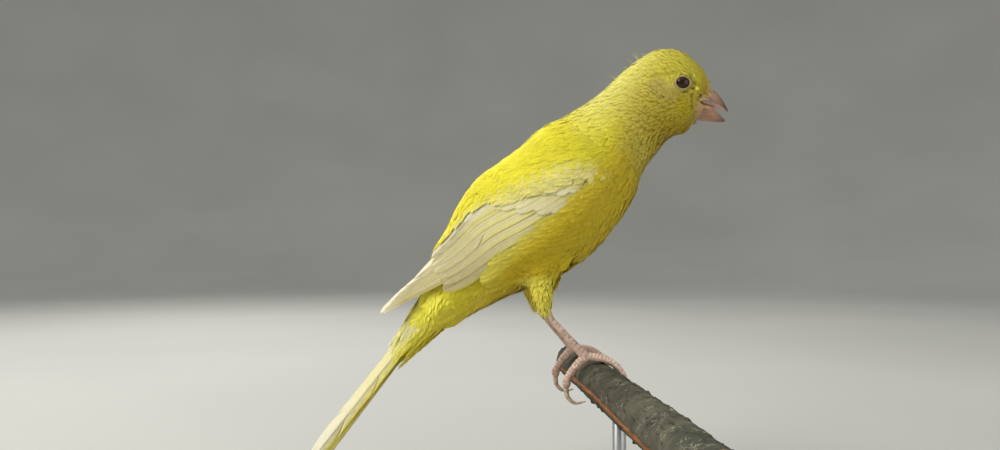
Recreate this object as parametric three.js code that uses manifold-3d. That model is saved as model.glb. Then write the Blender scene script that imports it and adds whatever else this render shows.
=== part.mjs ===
// A canary gripping a cut length of branch, which a plain round stand holds up. Life size, millimetres, +Z up.
// The origin is the middle of the underside of the stand's base. The bird faces +X, so its right side is -Y.

import * as THREE from 'three';
import { mergeVertices } from 'three/addons/utils/BufferGeometryUtils.js';
import Module from 'manifold-3d';

// Driving dimensions

const gap = 0.3;                    // left between two pieces that touch
const right = -1, left = 1;         // the sign of Y on each side of the bird

const base = { radius: 48, thickness: 8, chamfer: 1 };
const perch = { radius: 4.7, front: -98, back: 30, slant: -0.0804, height: 35.6 };
const rod = { radius: 1.5, y: -32 };
const birdPlace = [13.7, 15, perch.height];      // the perch's axis between the two feet

// The outline of head and neck in the middle plane, from the bill's root to the shoulder, as pairs [x, z] with half widths.
const headAndNeck = {
  back: [[31.7, 74.5], [30.6, 77.9], [28.4, 80.9], [25.2, 83.7], [21, 85.3], [16.3, 84.8], [11.7, 82], [7.2, 78.3],
    [3.1, 74.2], [-1.3, 71]],
  front: [[28.3, 65.9], [26.4, 64.9], [24.2, 63.3], [22.2, 62.4], [20.4, 61.4], [18.9, 59.9], [17.5, 58], [15.8, 55.9],
    [13.9, 53.3], [12.5, 50.4]],
  width: [3.9, 5.3, 6.7, 7.8, 8.4, 8.7, 8.9, 9.2, 10, 11.1],
};
const headEnds = 6.3;               // where the head meets the neck, in stations of that outline

// The trunk's sections stand square to a straight axis that runs back and down from the shoulder to the tail.
const trunk = {
  start: [1.3, 58.4],               // x and z of the axis at the shoulder
  fall: 0.7984,                     // the axis's slope, in radians below the horizontal
  step: 7,                          // from one section to the next
  middle: [-1.3, -1.5, -1.7, -1.3, -0.5, 0.4, 0.6, 0.8, 0.5, 0.9],
  depth: [13.8, 15.5, 16.1, 16.6, 16.1, 14, 11.3, 8.6, 6.2, 4.4],
  width: [12.3, 14, 14.9, 15, 14.4, 12.6, 10.3, 8.3, 6.6, 5],
};
const trunkLength = 61;

const eye = { x: 22.3, y: 6, z: 74.7, radius: 2.65, lidRing: 1.95, lidThickness: 0.5, lidY: 8.05 };

const foot = { y: 9, toe: 0.85, tarsus: 1.1, reach: 6.9, lean: -28 };
const ankle = { x: -12.2, z: 16.2 };

const tail = { length: 53.5, pairs: 4, halfWidth: 5.4, vaneHalf: 2.9, notch: 3, roll: 37, droop: 0.1, core: 18, rooted: 2, rise: 2.4 };

const colours = {
  mantle: 0xdccb3c, crown: 0xc9bb55, wing: 0xd9cf9a, tail: 0xece6ae, thigh: 0xd6c658,
  horn: 0xc09a86, tongue: 0xc98f86, eye: 0x1d120d, shin: 0xc9ab9a, claw: 0x8b7f6c, bark: 0x5c5a49, steel: 0xb9bcc0, wood: 0x9a7650,
};

// Ways of making a piece

const wasm = await Module();
wasm.setup();

const degrees = THREE.MathUtils.degToRad;
const lerp = THREE.MathUtils.lerp;
const vector = (x, y, z) => new THREE.Vector3(x, y, z);
const Y = vector(0, 1, 0);

// The value at t = 0..1 on a smooth line through a row of evenly spaced values.
const graded = (values, t) => new THREE.SplineCurve(values.map((v, i) => new THREE.Vector2(i, v))).getPoint(t).y;

function welded(geometry) {
  const bare = geometry.clone();
  bare.deleteAttribute('normal');
  bare.deleteAttribute('uv');
  const merged = mergeVertices(bare, 1e-4);
  const index = merged.index.array, at = merged.attributes.position;
  const [a, b, c] = [vector(), vector(), vector()];
  let volume = 0;
  for (let i = 0; i < index.length; i += 3) {
    a.fromBufferAttribute(at, index[i]);
    b.fromBufferAttribute(at, index[i + 1]);
    c.fromBufferAttribute(at, index[i + 2]);
    volume += a.dot(b.cross(c));
  }
  if (volume < 0) for (let i = 0; i < index.length; i += 3) [index[i], index[i + 1]] = [index[i + 1], index[i]];
  return merged;
}

function solid(geometry) {
  const merged = welded(geometry);
  return new wasm.Manifold(new wasm.Mesh({
    numProp: 3,
    vertProperties: new Float32Array(merged.attributes.position.array),
    triVerts: new Uint32Array(merged.index.array),
  }));
}

// The joined pieces, without scraps and sealed hollows.
function largest(joined) {
  const bodies = joined.decompose();
  const biggest = bodies.reduce((a, b) => (b.volume() > a.volume() ? b : a));
  const { vertProperties, triVerts } = biggest.getMesh();
  const geometry = new THREE.BufferGeometry();
  geometry.setAttribute('position', new THREE.BufferAttribute(new Float32Array(vertProperties), 3));
  geometry.setIndex(new THREE.BufferAttribute(new Uint32Array(triVerts), 1));
  geometry.computeVertexNormals();
  return geometry;
}

const join = (pieces) => pieces.map(solid).reduce((whole, piece) => whole.add(piece));

// A closed cylinder whose rings are carried to the places that place(t, around, radius) gives. t runs 0..1 along it,
// around is the angle from the section's up direction, and radius is 1 on the wall and 0 in the middle of each end.
function loft(sides, steps, place) {
  const geometry = new THREE.CylinderGeometry(1, 1, 1, sides, steps);
  const at = geometry.attributes.position;
  for (let i = 0; i < at.count; i++) {
    const [x, y, z] = [at.getX(i), at.getY(i), at.getZ(i)];
    at.setXYZ(i, ...place(0.5 - y, Math.atan2(x, z), Math.min(1, Math.hypot(x, z))));
  }
  return welded(geometry);
}

// A round limb along a smooth path, with its radius graded along it.
function limb(points, radii, sides = 10, steps = 10) {
  const path = new THREE.CatmullRomCurve3(points);
  return loft(sides, steps, (t, around, r) => {
    const forward = path.getTangent(t);
    const side = Y.clone().addScaledVector(forward, -forward.y).normalize();
    const up = side.clone().cross(forward);
    const size = r * graded(radii, t);
    return path.getPoint(t).addScaledVector(up, size * Math.cos(around)).addScaledVector(side, size * Math.sin(around));
  });
}

// A closed sheet. point(a, t, face) is its surface for a = -1..1 across, t = 0..1 along, and face 1 on top or -1 beneath.
// Both faces are split into triangles alike.
function sheet(across, along, point) {
  const plane = new THREE.PlaneGeometry(2, 1, across, along);
  const grid = plane.attributes.position, n = grid.count, row = across + 1;
  const positions = [], top = Array.from(plane.index.array), index = [...top], rim = [];
  for (const face of [1, -1]) {
    for (let i = 0; i < n; i++) positions.push(...point(grid.getX(i), 0.5 - grid.getY(i), face));
  }
  for (let i = 0; i < top.length; i += 3) index.push(top[i] + n, top[i + 2] + n, top[i + 1] + n);
  for (let i = 0; i < across; i++) rim.push(i);
  for (let j = 0; j < along; j++) rim.push(j * row + across);
  for (let i = across; i > 0; i--) rim.push(along * row + i);
  for (let j = along; j > 0; j--) rim.push(j * row);
  rim.forEach((a, k) => {
    const b = rim[(k + 1) % rim.length];
    index.push(a, b, b + n, a, b + n, a + n);
  });
  const geometry = new THREE.BufferGeometry();
  geometry.setAttribute('position', new THREE.Float32BufferAttribute(positions, 3));
  geometry.setIndex(index);
  return welded(geometry);
}

const canary = new THREE.Group();
const bird = new THREE.Group();
bird.position.set(...birdPlace);
canary.add(bird);

function add(group, name, geometry, color, roughness = 0.85, metalness = 0) {
  const mesh = new THREE.Mesh(geometry, new THREE.MeshStandardMaterial({ color, roughness, metalness }));
  mesh.name = name;
  group.add(mesh);
  return mesh;
}

// Stand: a turned disc and one rod up to the perch

const disc = new THREE.LatheGeometry([[0, 0], [base.radius - base.chamfer, 0], [base.radius, base.chamfer],
  [base.radius, base.thickness - base.chamfer], [base.radius - base.chamfer, base.thickness], [0, base.thickness]]
  .map(([r, z]) => new THREE.Vector2(r, z)), 48);
disc.rotateX(Math.PI / 2);
add(canary, 'stand_base', welded(disc), colours.wood, 0.5);

const perchX = (y) => perch.slant * y;
const rodTop = perch.height - perch.radius - gap - 0.15, rodBottom = base.thickness + gap;
const pin = new THREE.CylinderGeometry(rod.radius, rod.radius, rodTop - rodBottom, 16);
pin.rotateX(Math.PI / 2);
add(canary, 'stand_rod', welded(pin), colours.steel, 0.35, 1).position
  .set(birdPlace[0] + perchX(rod.y), birdPlace[1] + rod.y, (rodTop + rodBottom) / 2);

// Perch: a straight branch, sawn square at both ends, a little uneven in its girth

const barkRadius = (y, around) => perch.radius - 0.1 + 0.1 * Math.sin(y * 0.21 + 2 * Math.sin(around));
add(bird, 'perch', loft(16, 10, (t, around, r) => {
  const y = lerp(perch.front, perch.back, t);
  const size = r * barkRadius(y, around);
  return vector(perchX(y) + size * Math.sin(around), y, size * Math.cos(around));
}), colours.bark, 0.95);

// Body: head, neck and torso are one surface, parted by thin cuts

const trunkBack = vector(-Math.cos(trunk.fall), 0, -Math.sin(trunk.fall));
const trunkUp = vector(-Math.sin(trunk.fall), 0, Math.cos(trunk.fall));
const onAxis = (u, n) => vector(trunk.start[0], 0, trunk.start[1]).addScaledVector(trunkBack, u).addScaledVector(trunkUp, n);

const trunkRows = trunk.middle.map((middle, i) => ({
  back: onAxis(i * trunk.step, middle + trunk.depth[i]),
  front: onAxis(i * trunk.step, middle - trunk.depth[i]),
  width: trunk.width[i],
}));
const headRows = headAndNeck.width.map((width, i) => ({
  back: vector(headAndNeck.back[i][0], 0, headAndNeck.back[i][1]),
  front: vector(headAndNeck.front[i][0], 0, headAndNeck.front[i][1]),
  width,
}));
const rows = [...headRows, ...trunkRows];
const backLine = new THREE.CatmullRomCurve3(rows.map((row) => row.back));
const frontLine = new THREE.CatmullRomCurve3(rows.map((row) => row.front));
const stations = rows.length - 1;
const shoulder = headRows.length;                                  // the trunk's first section
const tailRoot = shoulder + trunkLength / trunk.step;

// A point of the body at a station, with the surface moved out by grow.
function bodyPoint(station, around, r, grow = 0) {
  const t = station / stations;
  const back = backLine.getPoint(t), front = frontLine.getPoint(t);
  const half = back.clone().sub(front).multiplyScalar(0.5);
  const up = half.clone().normalize();
  const depth = half.length() + grow, width = graded(rows.map((row) => row.width), t) + grow;
  return front.add(half).addScaledVector(up, r * depth * Math.cos(around)).addScaledVector(Y, -r * width * Math.sin(around));
}
const body = (from, to, sides, steps, grow = 0) =>
  loft(sides, steps, (t, around, r) => bodyPoint(lerp(from, to, t), around, r, grow));

const torso = body(shoulder + 0.03, tailRoot, 24, 13);
const torsoWithRoom = solid(body(shoulder - 1, tailRoot + gap / trunk.step, 24, 16, gap + 0.1));
add(bird, 'torso', torso, colours.mantle);
add(bird, 'neck', body(headEnds + 0.12, shoulder - 0.03, 24, 5), colours.mantle);

// Bill: two halves, open, each rooted in the face. A section has its flat side at the biting edge.

function billHalf(edge, ridge, width, grow = 0) {
  const line = (points) => new THREE.CatmullRomCurve3(points.map(([x, z]) => vector(x, 0, z)));
  const edgeLine = line(edge), ridgeLine = line(ridge);
  return loft(14, 7, (t, around, r) => {
    const at = edgeLine.getPoint(t), up = ridgeLine.getPoint(t).sub(at);
    const height = up.length();
    if (t === 0) at.addScaledVector(edgeLine.getTangent(0), -grow);
    const level = Math.cos(around);
    const lift = level > 0 ? height * level + grow : -0.25 * level * Math.min(1, height) - grow;
    return at.addScaledVector(up.normalize(), lerp(0.4 * height, lift, r)).addScaledVector(Y, r * (graded(width, t) + grow) * Math.sin(around));
  });
}
const upperBill = (grow) => billHalf([[27.4, 71.9], [29.4, 71.5], [31.6, 70.8], [33.6, 69.8], [35.6, 68.6]],
  [[29.6, 75.6], [31.7, 74.6], [33.4, 73.1], [34.8, 71.2], [35.9, 68.9]], [3.5, 3.3, 2.6, 1.6, 0.25], grow);
const lowerBill = (grow) => billHalf([[27, 70.3], [29, 70.2], [30.9, 69.8], [32.7, 68.4], [34.9, 66.5]],
  [[26.8, 66.4], [29.3, 66.1], [31.6, 65.9], [33.4, 65.8], [35.1, 66.1]], [3.5, 3.3, 2.7, 1.7, 0.25], grow);

const nostril = (side) => {
  const pit = new THREE.SphereGeometry(0.45, 8, 6);
  pit.translate(31.9, side * 1.75, 73.6);
  return solid(pit);
};
add(bird, 'bill_upper', largest(solid(upperBill(0)).subtract(nostril(right)).subtract(nostril(left))), colours.horn, 0.4);
add(bird, 'bill_lower', lowerBill(0), colours.horn, 0.4);

// Head: with its sockets, the rims of its lids and the slit of the mouth

const socket = (side, radius) => {
  const ball = new THREE.SphereGeometry(radius, 16, 10);
  ball.translate(eye.x, side * eye.y, eye.z);
  return ball;
};
const lid = (side) => {
  const ring = new THREE.TorusGeometry(eye.lidRing, eye.lidThickness, 6, 16);
  ring.rotateX(Math.PI / 2);
  ring.rotateZ(side * -0.12);
  ring.translate(eye.x, side * eye.lidY, eye.z);
  return ring;
};
const mouth = new THREE.ExtrudeGeometry(new THREE.Shape([[26.3, 71.2], [31, 69.3], [34, 69.5], [32, 71.4], [27.5, 72]]
  .map(([x, z]) => new THREE.Vector2(x, z))), { depth: 20, bevelEnabled: false });
mouth.rotateX(Math.PI / 2);
mouth.translate(0, 10, 0);

let head = join([body(0, headEnds, 24, 11), lid(right), lid(left)]);
for (const cut of [socket(right, eye.radius + gap), socket(left, eye.radius + gap), upperBill(gap), lowerBill(gap), mouth]) {
  head = head.subtract(solid(cut));
}
add(bird, 'head', largest(head), colours.crown);
add(bird, 'eye_right', welded(socket(right, eye.radius)), colours.eye, 0.08);
add(bird, 'eye_left', welded(socket(left, eye.radius)), colours.eye, 0.08);

const tongue = loft(10, 5, (t, around, r) => {
  const [x, z] = [lerp(28, 32.6, t), lerp(71, 69.9, t)];
  const size = r * graded([1.5, 1.5, 1.2, 0.5], t);
  return vector(x, size * Math.sin(around), z + 0.22 * r * Math.cos(around));
});
add(bird, 'tongue', tongue, colours.tongue, 0.5);

// Legs: a feathered thigh, then shin, foot and toes in one, then the claws

const perchAt = (y, angle, radius) => vector(perchX(y) + radius * Math.sin(degrees(angle)), y, radius * Math.cos(degrees(angle)));
const toePath = perch.radius + gap + foot.toe + 0.05;
const sideName = (side) => (side === right ? 'right' : 'left');

// The three front toes lie over the perch and the hind toe grips it from behind. swing is how far a toe's end stands
// off sideways, end the angle round the perch where its claw begins, and claw how far round that reaches.
const frontToes = [
  { name: 'inner', swing: -3.6, end: 64, claw: 40 },
  { name: 'middle', swing: 0.4, end: 92, claw: 44 },
  { name: 'outer', swing: 3.8, end: 66, claw: 38 },
];

for (const side of [right, left]) {
  const y = side * foot.y, name = sideName(side), shift = perchX(y);
  const ankleAt = vector(ankle.x + shift - perchX(right * foot.y), y, ankle.z);
  const heel = perchAt(y, foot.lean, foot.reach);

  const thigh = limb([vector(ankleAt.x - 3, y - side * 3, 33), vector(ankleAt.x - 1.6, y - side * 1.2, 26), vector(ankleAt.x - 0.8, y, 20.5),
    vector(ankleAt.x, y, ankle.z + 0.1)], [5.2, 3.9, 2.9, 1.5], 12, 6);
  const shin = (grow) => limb([ankleAt.clone().lerp(heel, -grow / 14), ankleAt.clone().lerp(heel, 0.5), heel],
    [1.3 + grow, foot.tarsus + grow, 1.05 + grow, 1.3 + grow], 8, 4);
  add(bird, `thigh_${name}`, largest(solid(thigh).subtract(torsoWithRoom).subtract(solid(shin(gap + 0.05)))), colours.thigh);

  const pieces = [shin(0)];
  const claws = [];
  for (const toe of frontToes) {
    const swing = (t) => y + side * toe.swing * t;
    pieces.push(limb([heel, perchAt(swing(0.15), -8, toePath + 0.25), perchAt(swing(0.45), toe.end * 0.35, toePath),
      perchAt(swing(0.75), toe.end * 0.7, toePath), perchAt(swing(1), toe.end, toePath)], [1.15, 0.95, foot.toe, 0.8, 0.75], 8, 7));
    const from = toe.end + 6;
    claws.push([toe.name, [perchAt(swing(1), from, toePath), perchAt(swing(1.04), from + toe.claw * 0.5, toePath + 0.15),
      perchAt(swing(1.06), from + toe.claw, toePath - 0.25)]]);
  }
  const hind = ([x, z]) => vector(shift + x, y, z);
  pieces.push(limb([heel, hind([-6, 3.3]), hind([-7.9, 0.3]), hind([-8, -1.6])], [1.2, 1.05, 0.95, 0.85], 8, 6));
  claws.push(['hind', [[-8, -2], [-7.6, -4.1], [-5.6, -5.6], [-3, -5.5]].map(hind)]);

  add(bird, `foot_${name}`, largest(join(pieces)), colours.shin, 0.6);
  for (const [which, path] of claws) {
    add(bird, `claw_${name}_${which}`, limb(path, [0.72, 0.55, 0.38, 0.16], 6, 5), colours.claw, 0.45);
  }
}

// Wings: each is laid on a bed, the trunk's own surface a little grown, which narrows to a ridge over the tail's root.
// u runs back along the trunk's axis, and angle is measured in degrees from the back down the bird's side.

const bed = {
  middle: [-1.3, -1.5, -1.7, -1.3, -0.5, 0.4, 0.7, 1.4, 3.1, 5.2, 6.6],
  depth: [14.4, 16.1, 16.7, 17.2, 16.7, 14.6, 11.9, 9.9, 7.4, 5.9, 4.6],
  width: [12.9, 14.6, 15.5, 15.6, 15, 13.2, 10.9, 9, 6.8, 5, 4.2],
  nearest: 4,                       // degrees from the middle plane, where the other wing begins
};
const bedSize = (size, u) => graded(bed[size], u / trunk.step / (bed.middle.length - 1));
function bedPoint(side, u, angle, lift) {
  const turn = degrees(Math.max(bed.nearest, angle));
  return onAxis(u, bedSize('middle', u) + (bedSize('depth', u) + lift) * Math.cos(turn))
    .addScaledVector(Y, side * (bedSize('width', u) + lift) * Math.sin(turn));
}

// A feather is a thin sheet with a raised shaft, narrow at its root and round at its tip. It is tilted across, so that
// in a row each one's lower edge lies over the next. place(across, t, height) lays it on what it grows from.
const vane = {
  thickness: 0.5, shaft: 0.12, tilt: 0.3,
  along: [0, 0.32, 0.66, 0.9, 1], breadth: [0.5, 0.88, 1, 0.8, 0.28],
};
function feather(half, place) {
  const steps = vane.along.length - 1;
  return sheet(2, steps, (a, t, face) => {
    const k = Math.round(t * steps);
    const thickness = (k === steps ? 0.6 : 1) * vane.thickness / 2 + (a === 0 ? vane.shaft : 0);
    return place(a * half * vane.breadth[k], vane.along[k], vane.tilt * a + face * thickness);
  });
}
const wingFeather = (side, { root, tip, half, lift }) => feather(half, (across, t, height) => {
  const [u, angle] = [lerp(root[0], tip[0], t), lerp(root[1], tip[1], t)];
  const degree = degrees((bedSize('depth', u) + bedSize('width', u)) / 2);        // its length on the bed, in mm
  const path = new THREE.Vector2(tip[0] - root[0], (tip[1] - root[1]) * degree).normalize();
  return bedPoint(side, u - across * path.y, angle + across * path.x / degree, lift + height);
});

// Rows of feathers, each from the lowest to the topmost: where the first and the last of a row root and end.
const wingRows = [
  { count: 6, lift: 0.65, half: 2.1, root: [[32, 98], [36, 66]], tip: [[68.3, 47], [57, 24]], sag: 3 },      // primaries
  { count: 5, lift: 0.95, half: 2.8, root: [[20, 104], [19, 74]], tip: [[52.5, 87], [50.5, 34]], sag: 0 },    // secondaries
  { count: 3, lift: 1.35, half: 3, root: [[18, 72], [18, 64]], tip: [[49, 28], [37, 45]], sag: 0 },           // tertials
  { count: 4, lift: 1.2, half: 2, root: [[14, 107], [15, 98]], tip: [[34, 106], [27, 97]], sag: 0 },          // primary coverts
  { count: 6, lift: 1.4, half: 2.7, root: [[8, 104], [18, 68]], tip: [[19, 103], [30, 61]], sag: 0 },         // greater coverts
  { count: 5, lift: 1.75, half: 2.6, root: [[5, 99], [12, 74]], tip: [[12, 100], [22, 67]], sag: 0 },         // median coverts
  { count: 3, lift: 2, half: 2.4, root: [[2.5, 95], [7, 82]], tip: [[7.5, 97], [14, 76]], sag: 0 },           // lesser coverts
];
const core = {
  start: 3.5, end: 46, thickness: 0.9,
  lower: [97, 102, 105, 107, 105, 99, 94],
  upper: [86, 73, 71, 62, 56, 46, 38],
};
for (const side of [right, left]) {
  const pieces = [sheet(4, 7, (a, t, face) => bedPoint(side, lerp(core.start, core.end, t),
    lerp(graded(core.upper, t), graded(core.lower, t), (a + 1) / 2), face > 0 ? core.thickness : 0))];
  for (const row of wingRows) {
    for (let i = 0; i < row.count; i++) {
      const s = i / (row.count - 1);
      const between = (ends) => [lerp(ends[0][0], ends[1][0], s) + row.sag * s * (1 - s) * 4, lerp(ends[0][1], ends[1][1], s)];
      pieces.push(wingFeather(side, { root: between(row.root), tip: between(row.tip), half: row.half, lift: row.lift }));
    }
  }
  add(bird, `wing_${sideName(side)}`, largest(join(pieces)), colours.wing, 0.8);
}

// Tail: closed, carried a little below the line of the trunk and rolled over to the right

const tailBack = trunkBack.clone().multiplyScalar(Math.cos(tail.droop)).addScaledVector(trunkUp, -Math.sin(tail.droop));
const tailUp = trunkUp.clone().multiplyScalar(Math.cos(tail.droop)).addScaledVector(trunkBack, Math.sin(tail.droop))
  .applyAxisAngle(tailBack, -degrees(tail.roll));
const tailSide = tailUp.clone().cross(tailBack);
const tailStart = onAxis(trunkLength - tail.rooted, tail.rise);
const tailPoint = (v, across, up) => tailStart.clone().addScaledVector(tailBack, v).addScaledVector(tailSide, across)
  .addScaledVector(tailUp, up);

// Four feathers on each side of the middle: the central pair lies on top, and each next one below it and further out.
const tailFeathers = [];
for (const side of [right, left]) {
  for (let i = 0; i < tail.pairs; i++) {
    const length = tail.length - tail.notch * (1 - i / (tail.pairs - 1)) ** 2;
    const out = lerp(1.1, tail.halfWidth - tail.vaneHalf, i / (tail.pairs - 1));
    tailFeathers.push(feather(tail.vaneHalf, (across, t, height) => {
      const sideways = side * lerp(0.25, 1, t) * out + across;
      return tailPoint(t * length, sideways, -0.36 * i - 0.045 * sideways * sideways / 2 + height - vane.tilt * across / tail.vaneHalf);
    }));
  }
}
const tailCore = loft(16, 5, (t, around, r) => tailPoint(t * tail.core, r * graded([4.5, 3.6, 3.2, 2.6], t) * Math.sin(around),
  r * graded([3.4, 2.2, 1.4, 0.5], t) * Math.cos(around) - 0.6 * t));
add(bird, 'tail', largest(join([tailCore, ...tailFeathers]).subtract(torsoWithRoom)), colours.tail, 0.8);

export default canary;
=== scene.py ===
import math

import bmesh
import bpy
import numpy as np
from mathutils import Matrix, Vector, noise
from mathutils.bvhtree import BVHTree
from mathutils.kdtree import KDTree


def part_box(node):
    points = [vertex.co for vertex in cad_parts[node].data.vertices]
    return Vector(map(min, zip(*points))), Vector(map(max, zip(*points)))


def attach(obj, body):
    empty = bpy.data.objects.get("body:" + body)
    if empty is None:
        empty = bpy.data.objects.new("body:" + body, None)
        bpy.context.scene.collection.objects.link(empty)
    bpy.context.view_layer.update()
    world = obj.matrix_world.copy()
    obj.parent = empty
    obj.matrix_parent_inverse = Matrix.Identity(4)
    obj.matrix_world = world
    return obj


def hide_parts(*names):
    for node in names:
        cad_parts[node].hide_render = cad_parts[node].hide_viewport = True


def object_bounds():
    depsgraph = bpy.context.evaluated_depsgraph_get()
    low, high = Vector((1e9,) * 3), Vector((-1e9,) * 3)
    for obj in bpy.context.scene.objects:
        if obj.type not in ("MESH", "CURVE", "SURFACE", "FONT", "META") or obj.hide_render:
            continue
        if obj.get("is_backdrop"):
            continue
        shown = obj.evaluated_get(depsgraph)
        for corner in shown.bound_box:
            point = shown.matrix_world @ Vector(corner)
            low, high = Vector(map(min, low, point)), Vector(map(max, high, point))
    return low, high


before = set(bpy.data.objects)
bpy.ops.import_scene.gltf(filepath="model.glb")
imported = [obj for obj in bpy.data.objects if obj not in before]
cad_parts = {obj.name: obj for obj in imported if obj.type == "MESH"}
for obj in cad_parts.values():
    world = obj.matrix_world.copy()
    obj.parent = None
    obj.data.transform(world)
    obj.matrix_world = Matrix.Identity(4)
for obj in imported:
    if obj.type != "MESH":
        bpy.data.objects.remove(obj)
cad_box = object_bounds()
MM = 0.001
SIDES = ((-1, "right"), (1, "left"))


# Tools for all the pieces: objects, materials, and a mesh's numbers as arrays. Places in bmesh and on
# objects are in metres, places in arrays are in millimetres, both in the part's frame.
def new_object(name, mesh):
    piece = bpy.data.objects.new(name, mesh)
    bpy.context.scene.collection.objects.link(piece)
    return piece


def mesh_object(name, shape):
    mesh = bpy.data.meshes.new(name)
    shape.to_mesh(mesh)
    shape.free()
    mesh.shade_smooth()
    return new_object(name, mesh)


def settle(piece, slot, nodes, *materials):
    """Finishes a piece: it rides on the part and stands for these solids. slot is not used."""
    for material in materials:
        piece.data.materials.append(material)
    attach(piece, "root")
    if nodes:
        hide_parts(*nodes)
    return piece


def turned(name, profile, steps):
    """A piece turned round the upright axis from its profile's radii and heights."""
    shape = bmesh.new()
    line = [shape.verts.new((r, 0, z)) for r, z in profile]
    edges = [shape.edges.new(pair) for pair in zip(line, line[1:])]
    bmesh.ops.spin(shape, geom=line + edges, axis=(0, 0, 1), cent=(0, 0, 0), steps=steps, angle=math.tau,
                   use_merge=True)
    bmesh.ops.remove_doubles(shape, verts=shape.verts, dist=1e-6)
    bmesh.ops.recalc_face_normals(shape, faces=shape.faces)
    return mesh_object(name, shape)


def pull_out(shape, border):
    """Extrudes a border's edges where they lie. Gives the new border and its vertices."""
    pulled = bmesh.ops.extrude_edge_only(shape, edges=border)["geom"]
    return ([e for e in pulled if isinstance(e, bmesh.types.BMEdge)],
            [v for v in pulled if isinstance(v, bmesh.types.BMVert)])


def at_rest(node):
    """A copy of a solid's mesh in a bmesh, its loose triangles merged."""
    shape = bmesh.new()
    shape.from_mesh(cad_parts[node].data)
    bmesh.ops.remove_doubles(shape, verts=shape.verts, dist=2e-6)
    return shape


def applied(piece):
    """The piece's mesh with its modifiers worked in."""
    graph = bpy.context.evaluated_depsgraph_get()
    mesh = bpy.data.meshes.new_from_object(piece.evaluated_get(graph))
    old, piece.data = piece.data, mesh
    piece.modifiers.clear()
    bpy.data.meshes.remove(old)
    return mesh


def one_surface(piece, voxel, rounds):
    """Makes the piece one surface of small even faces, and smooths it."""
    remesh = piece.modifiers.new("one surface", "REMESH")
    remesh.mode, remesh.voxel_size = "VOXEL", voxel
    calm = piece.modifiers.new("smooth", "SMOOTH")
    calm.factor, calm.iterations = 0.5, rounds
    applied(piece)


class Value:
    """A socket of a material's tree: arithmetic on it adds Math nodes, and node() adds any other kind."""

    def __init__(self, tree, socket):
        self.tree, self.socket = tree, socket

    def node(self, kind, settings=None, inputs=None, output=0):
        made = self.tree.nodes.new("ShaderNode" + kind)
        for name, setting in (settings or {}).items():
            setattr(made, name, setting)
        for key, given in (inputs or {}).items():
            if isinstance(given, Value):
                self.tree.links.new(given.socket, made.inputs[key])
            else:
                made.inputs[key].default_value = given
        return Value(self.tree, made.outputs[output])

    def math(self, operation, *others):
        return self.node("Math", {"operation": operation}, dict(enumerate((self, *others))))

    def __add__(self, other):
        return self.math("ADD", other)

    def __sub__(self, other):
        return self.math("SUBTRACT", other)

    def __rsub__(self, other):
        return self.node("Math", {"operation": "SUBTRACT"}, {0: other, 1: self})

    def __mul__(self, other):
        return self.math("MULTIPLY", other)

    __radd__, __rmul__ = __add__, __mul__

    def between(self, low, high):
        """0 below low, 1 above high, and a smooth step between."""
        return self.node("MapRange", {"interpolation_type": "SMOOTHSTEP"}, {0: self, 1: low, 2: high})

    def mix(self, first, second):
        """Two colours, mixed by this mask."""
        return self.node("Mix", {"data_type": "RGBA"}, {0: self, 6: first, 7: second}, output=2)

    def times(self, colour):
        """This colour multiplied by another."""
        settings = {"data_type": "RGBA", "blend_type": "MULTIPLY"}
        return self.node("Mix", settings, {0: 1.0, 6: self, 7: colour}, output=2)

    def noise(self, scale, detail=3.0, rough=0.5, stretch=(1, 1, 1), distortion=0.0):
        """Noise at this place, its scale in features per millimetre."""
        place = self.node("Mapping", {}, {0: self, 3: stretch})
        return place.node("TexNoise", {}, {"Vector": place, "Scale": scale, "Detail": detail,
                                           "Roughness": rough, "Distortion": distortion})


def srgb(red, green, blue):
    """A colour given in 0..255 as a screen shows it, in the linear values that shaders take."""
    return tuple(c / 12.92 if c <= 0.04045 else ((c + 0.055) / 1.055) ** 2.4
                 for c in (red / 255, green / 255, blue / 255)) + (1.0,)


def finish(name, **constants):
    """A new material with these constants. Gives it, its shader and the place on the object in mm."""
    material = bpy.data.materials.new(name)
    material.use_nodes = True
    tree = material.node_tree
    shader = tree.nodes["Principled BSDF"]
    for key, constant in constants.items():
        shader.inputs[key.replace("_", " ")].default_value = constant
    place = Value(tree, tree.nodes.new("ShaderNodeTexCoord").outputs["Object"])
    return material, shader, place.node("VectorMath", {"operation": "SCALE"}, {0: place, 3: 1000.0})


def feed(shader, **values):
    """Links values to the shader's sockets; bump=(height, depth in mm) goes through a Bump node to Normal."""
    for key, value in values.items():
        if key == "bump":
            height, depth = value
            key = "Normal"
            value = height.node("Bump", {}, {"Height": height, "Distance": depth * MM, "Strength": 1.0})
        value.tree.links.new(value.socket, shader.inputs[key.replace("_", " ")])


def mottled(name, first, second, patches, grain=None, depth=0.05, edges=(0.3, 0.7), **constants):
    """A material of two colours in soft patches. patches and grain go to noise(); grain is depth mm deep."""
    material, shader, place = finish(name, **constants)
    feed(shader, Base_Color=place.noise(*patches).between(*edges).mix(srgb(*first), srgb(*second)))
    if grain:
        feed(shader, bump=(place.noise(*grain), depth))
    return material


def keratin(name, dark, light, patches, grain, depth, **constants):
    """Feather keratin: the painted markings and painted shade, a little darker and lighter in soft patches.
    """
    material, shader, place = finish(name, **constants)
    painted = place.node("VertexColor", {"layer_name": "markings_and_shade"})
    soft = place.noise(patches, 3, 0.6).between(0.25, 0.75)
    feed(shader, Base_Color=painted.times(soft.mix(dark, light)), bump=(place.noise(grain, 2, 0.5), depth))
    return material


def read(collection, key, width, kind=np.float32):
    """What a mesh's collection holds under a key, as rows of width numbers."""
    flat = np.empty(len(collection) * width, kind)
    collection.foreach_get(key, flat)
    return flat.reshape(-1, width)


def write(collection, key, values, kind=np.float32):
    collection.foreach_set(key, values.astype(kind).ravel())


def points_of(mesh):
    return read(mesh.vertices, "co", 3).astype(float) / MM


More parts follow.
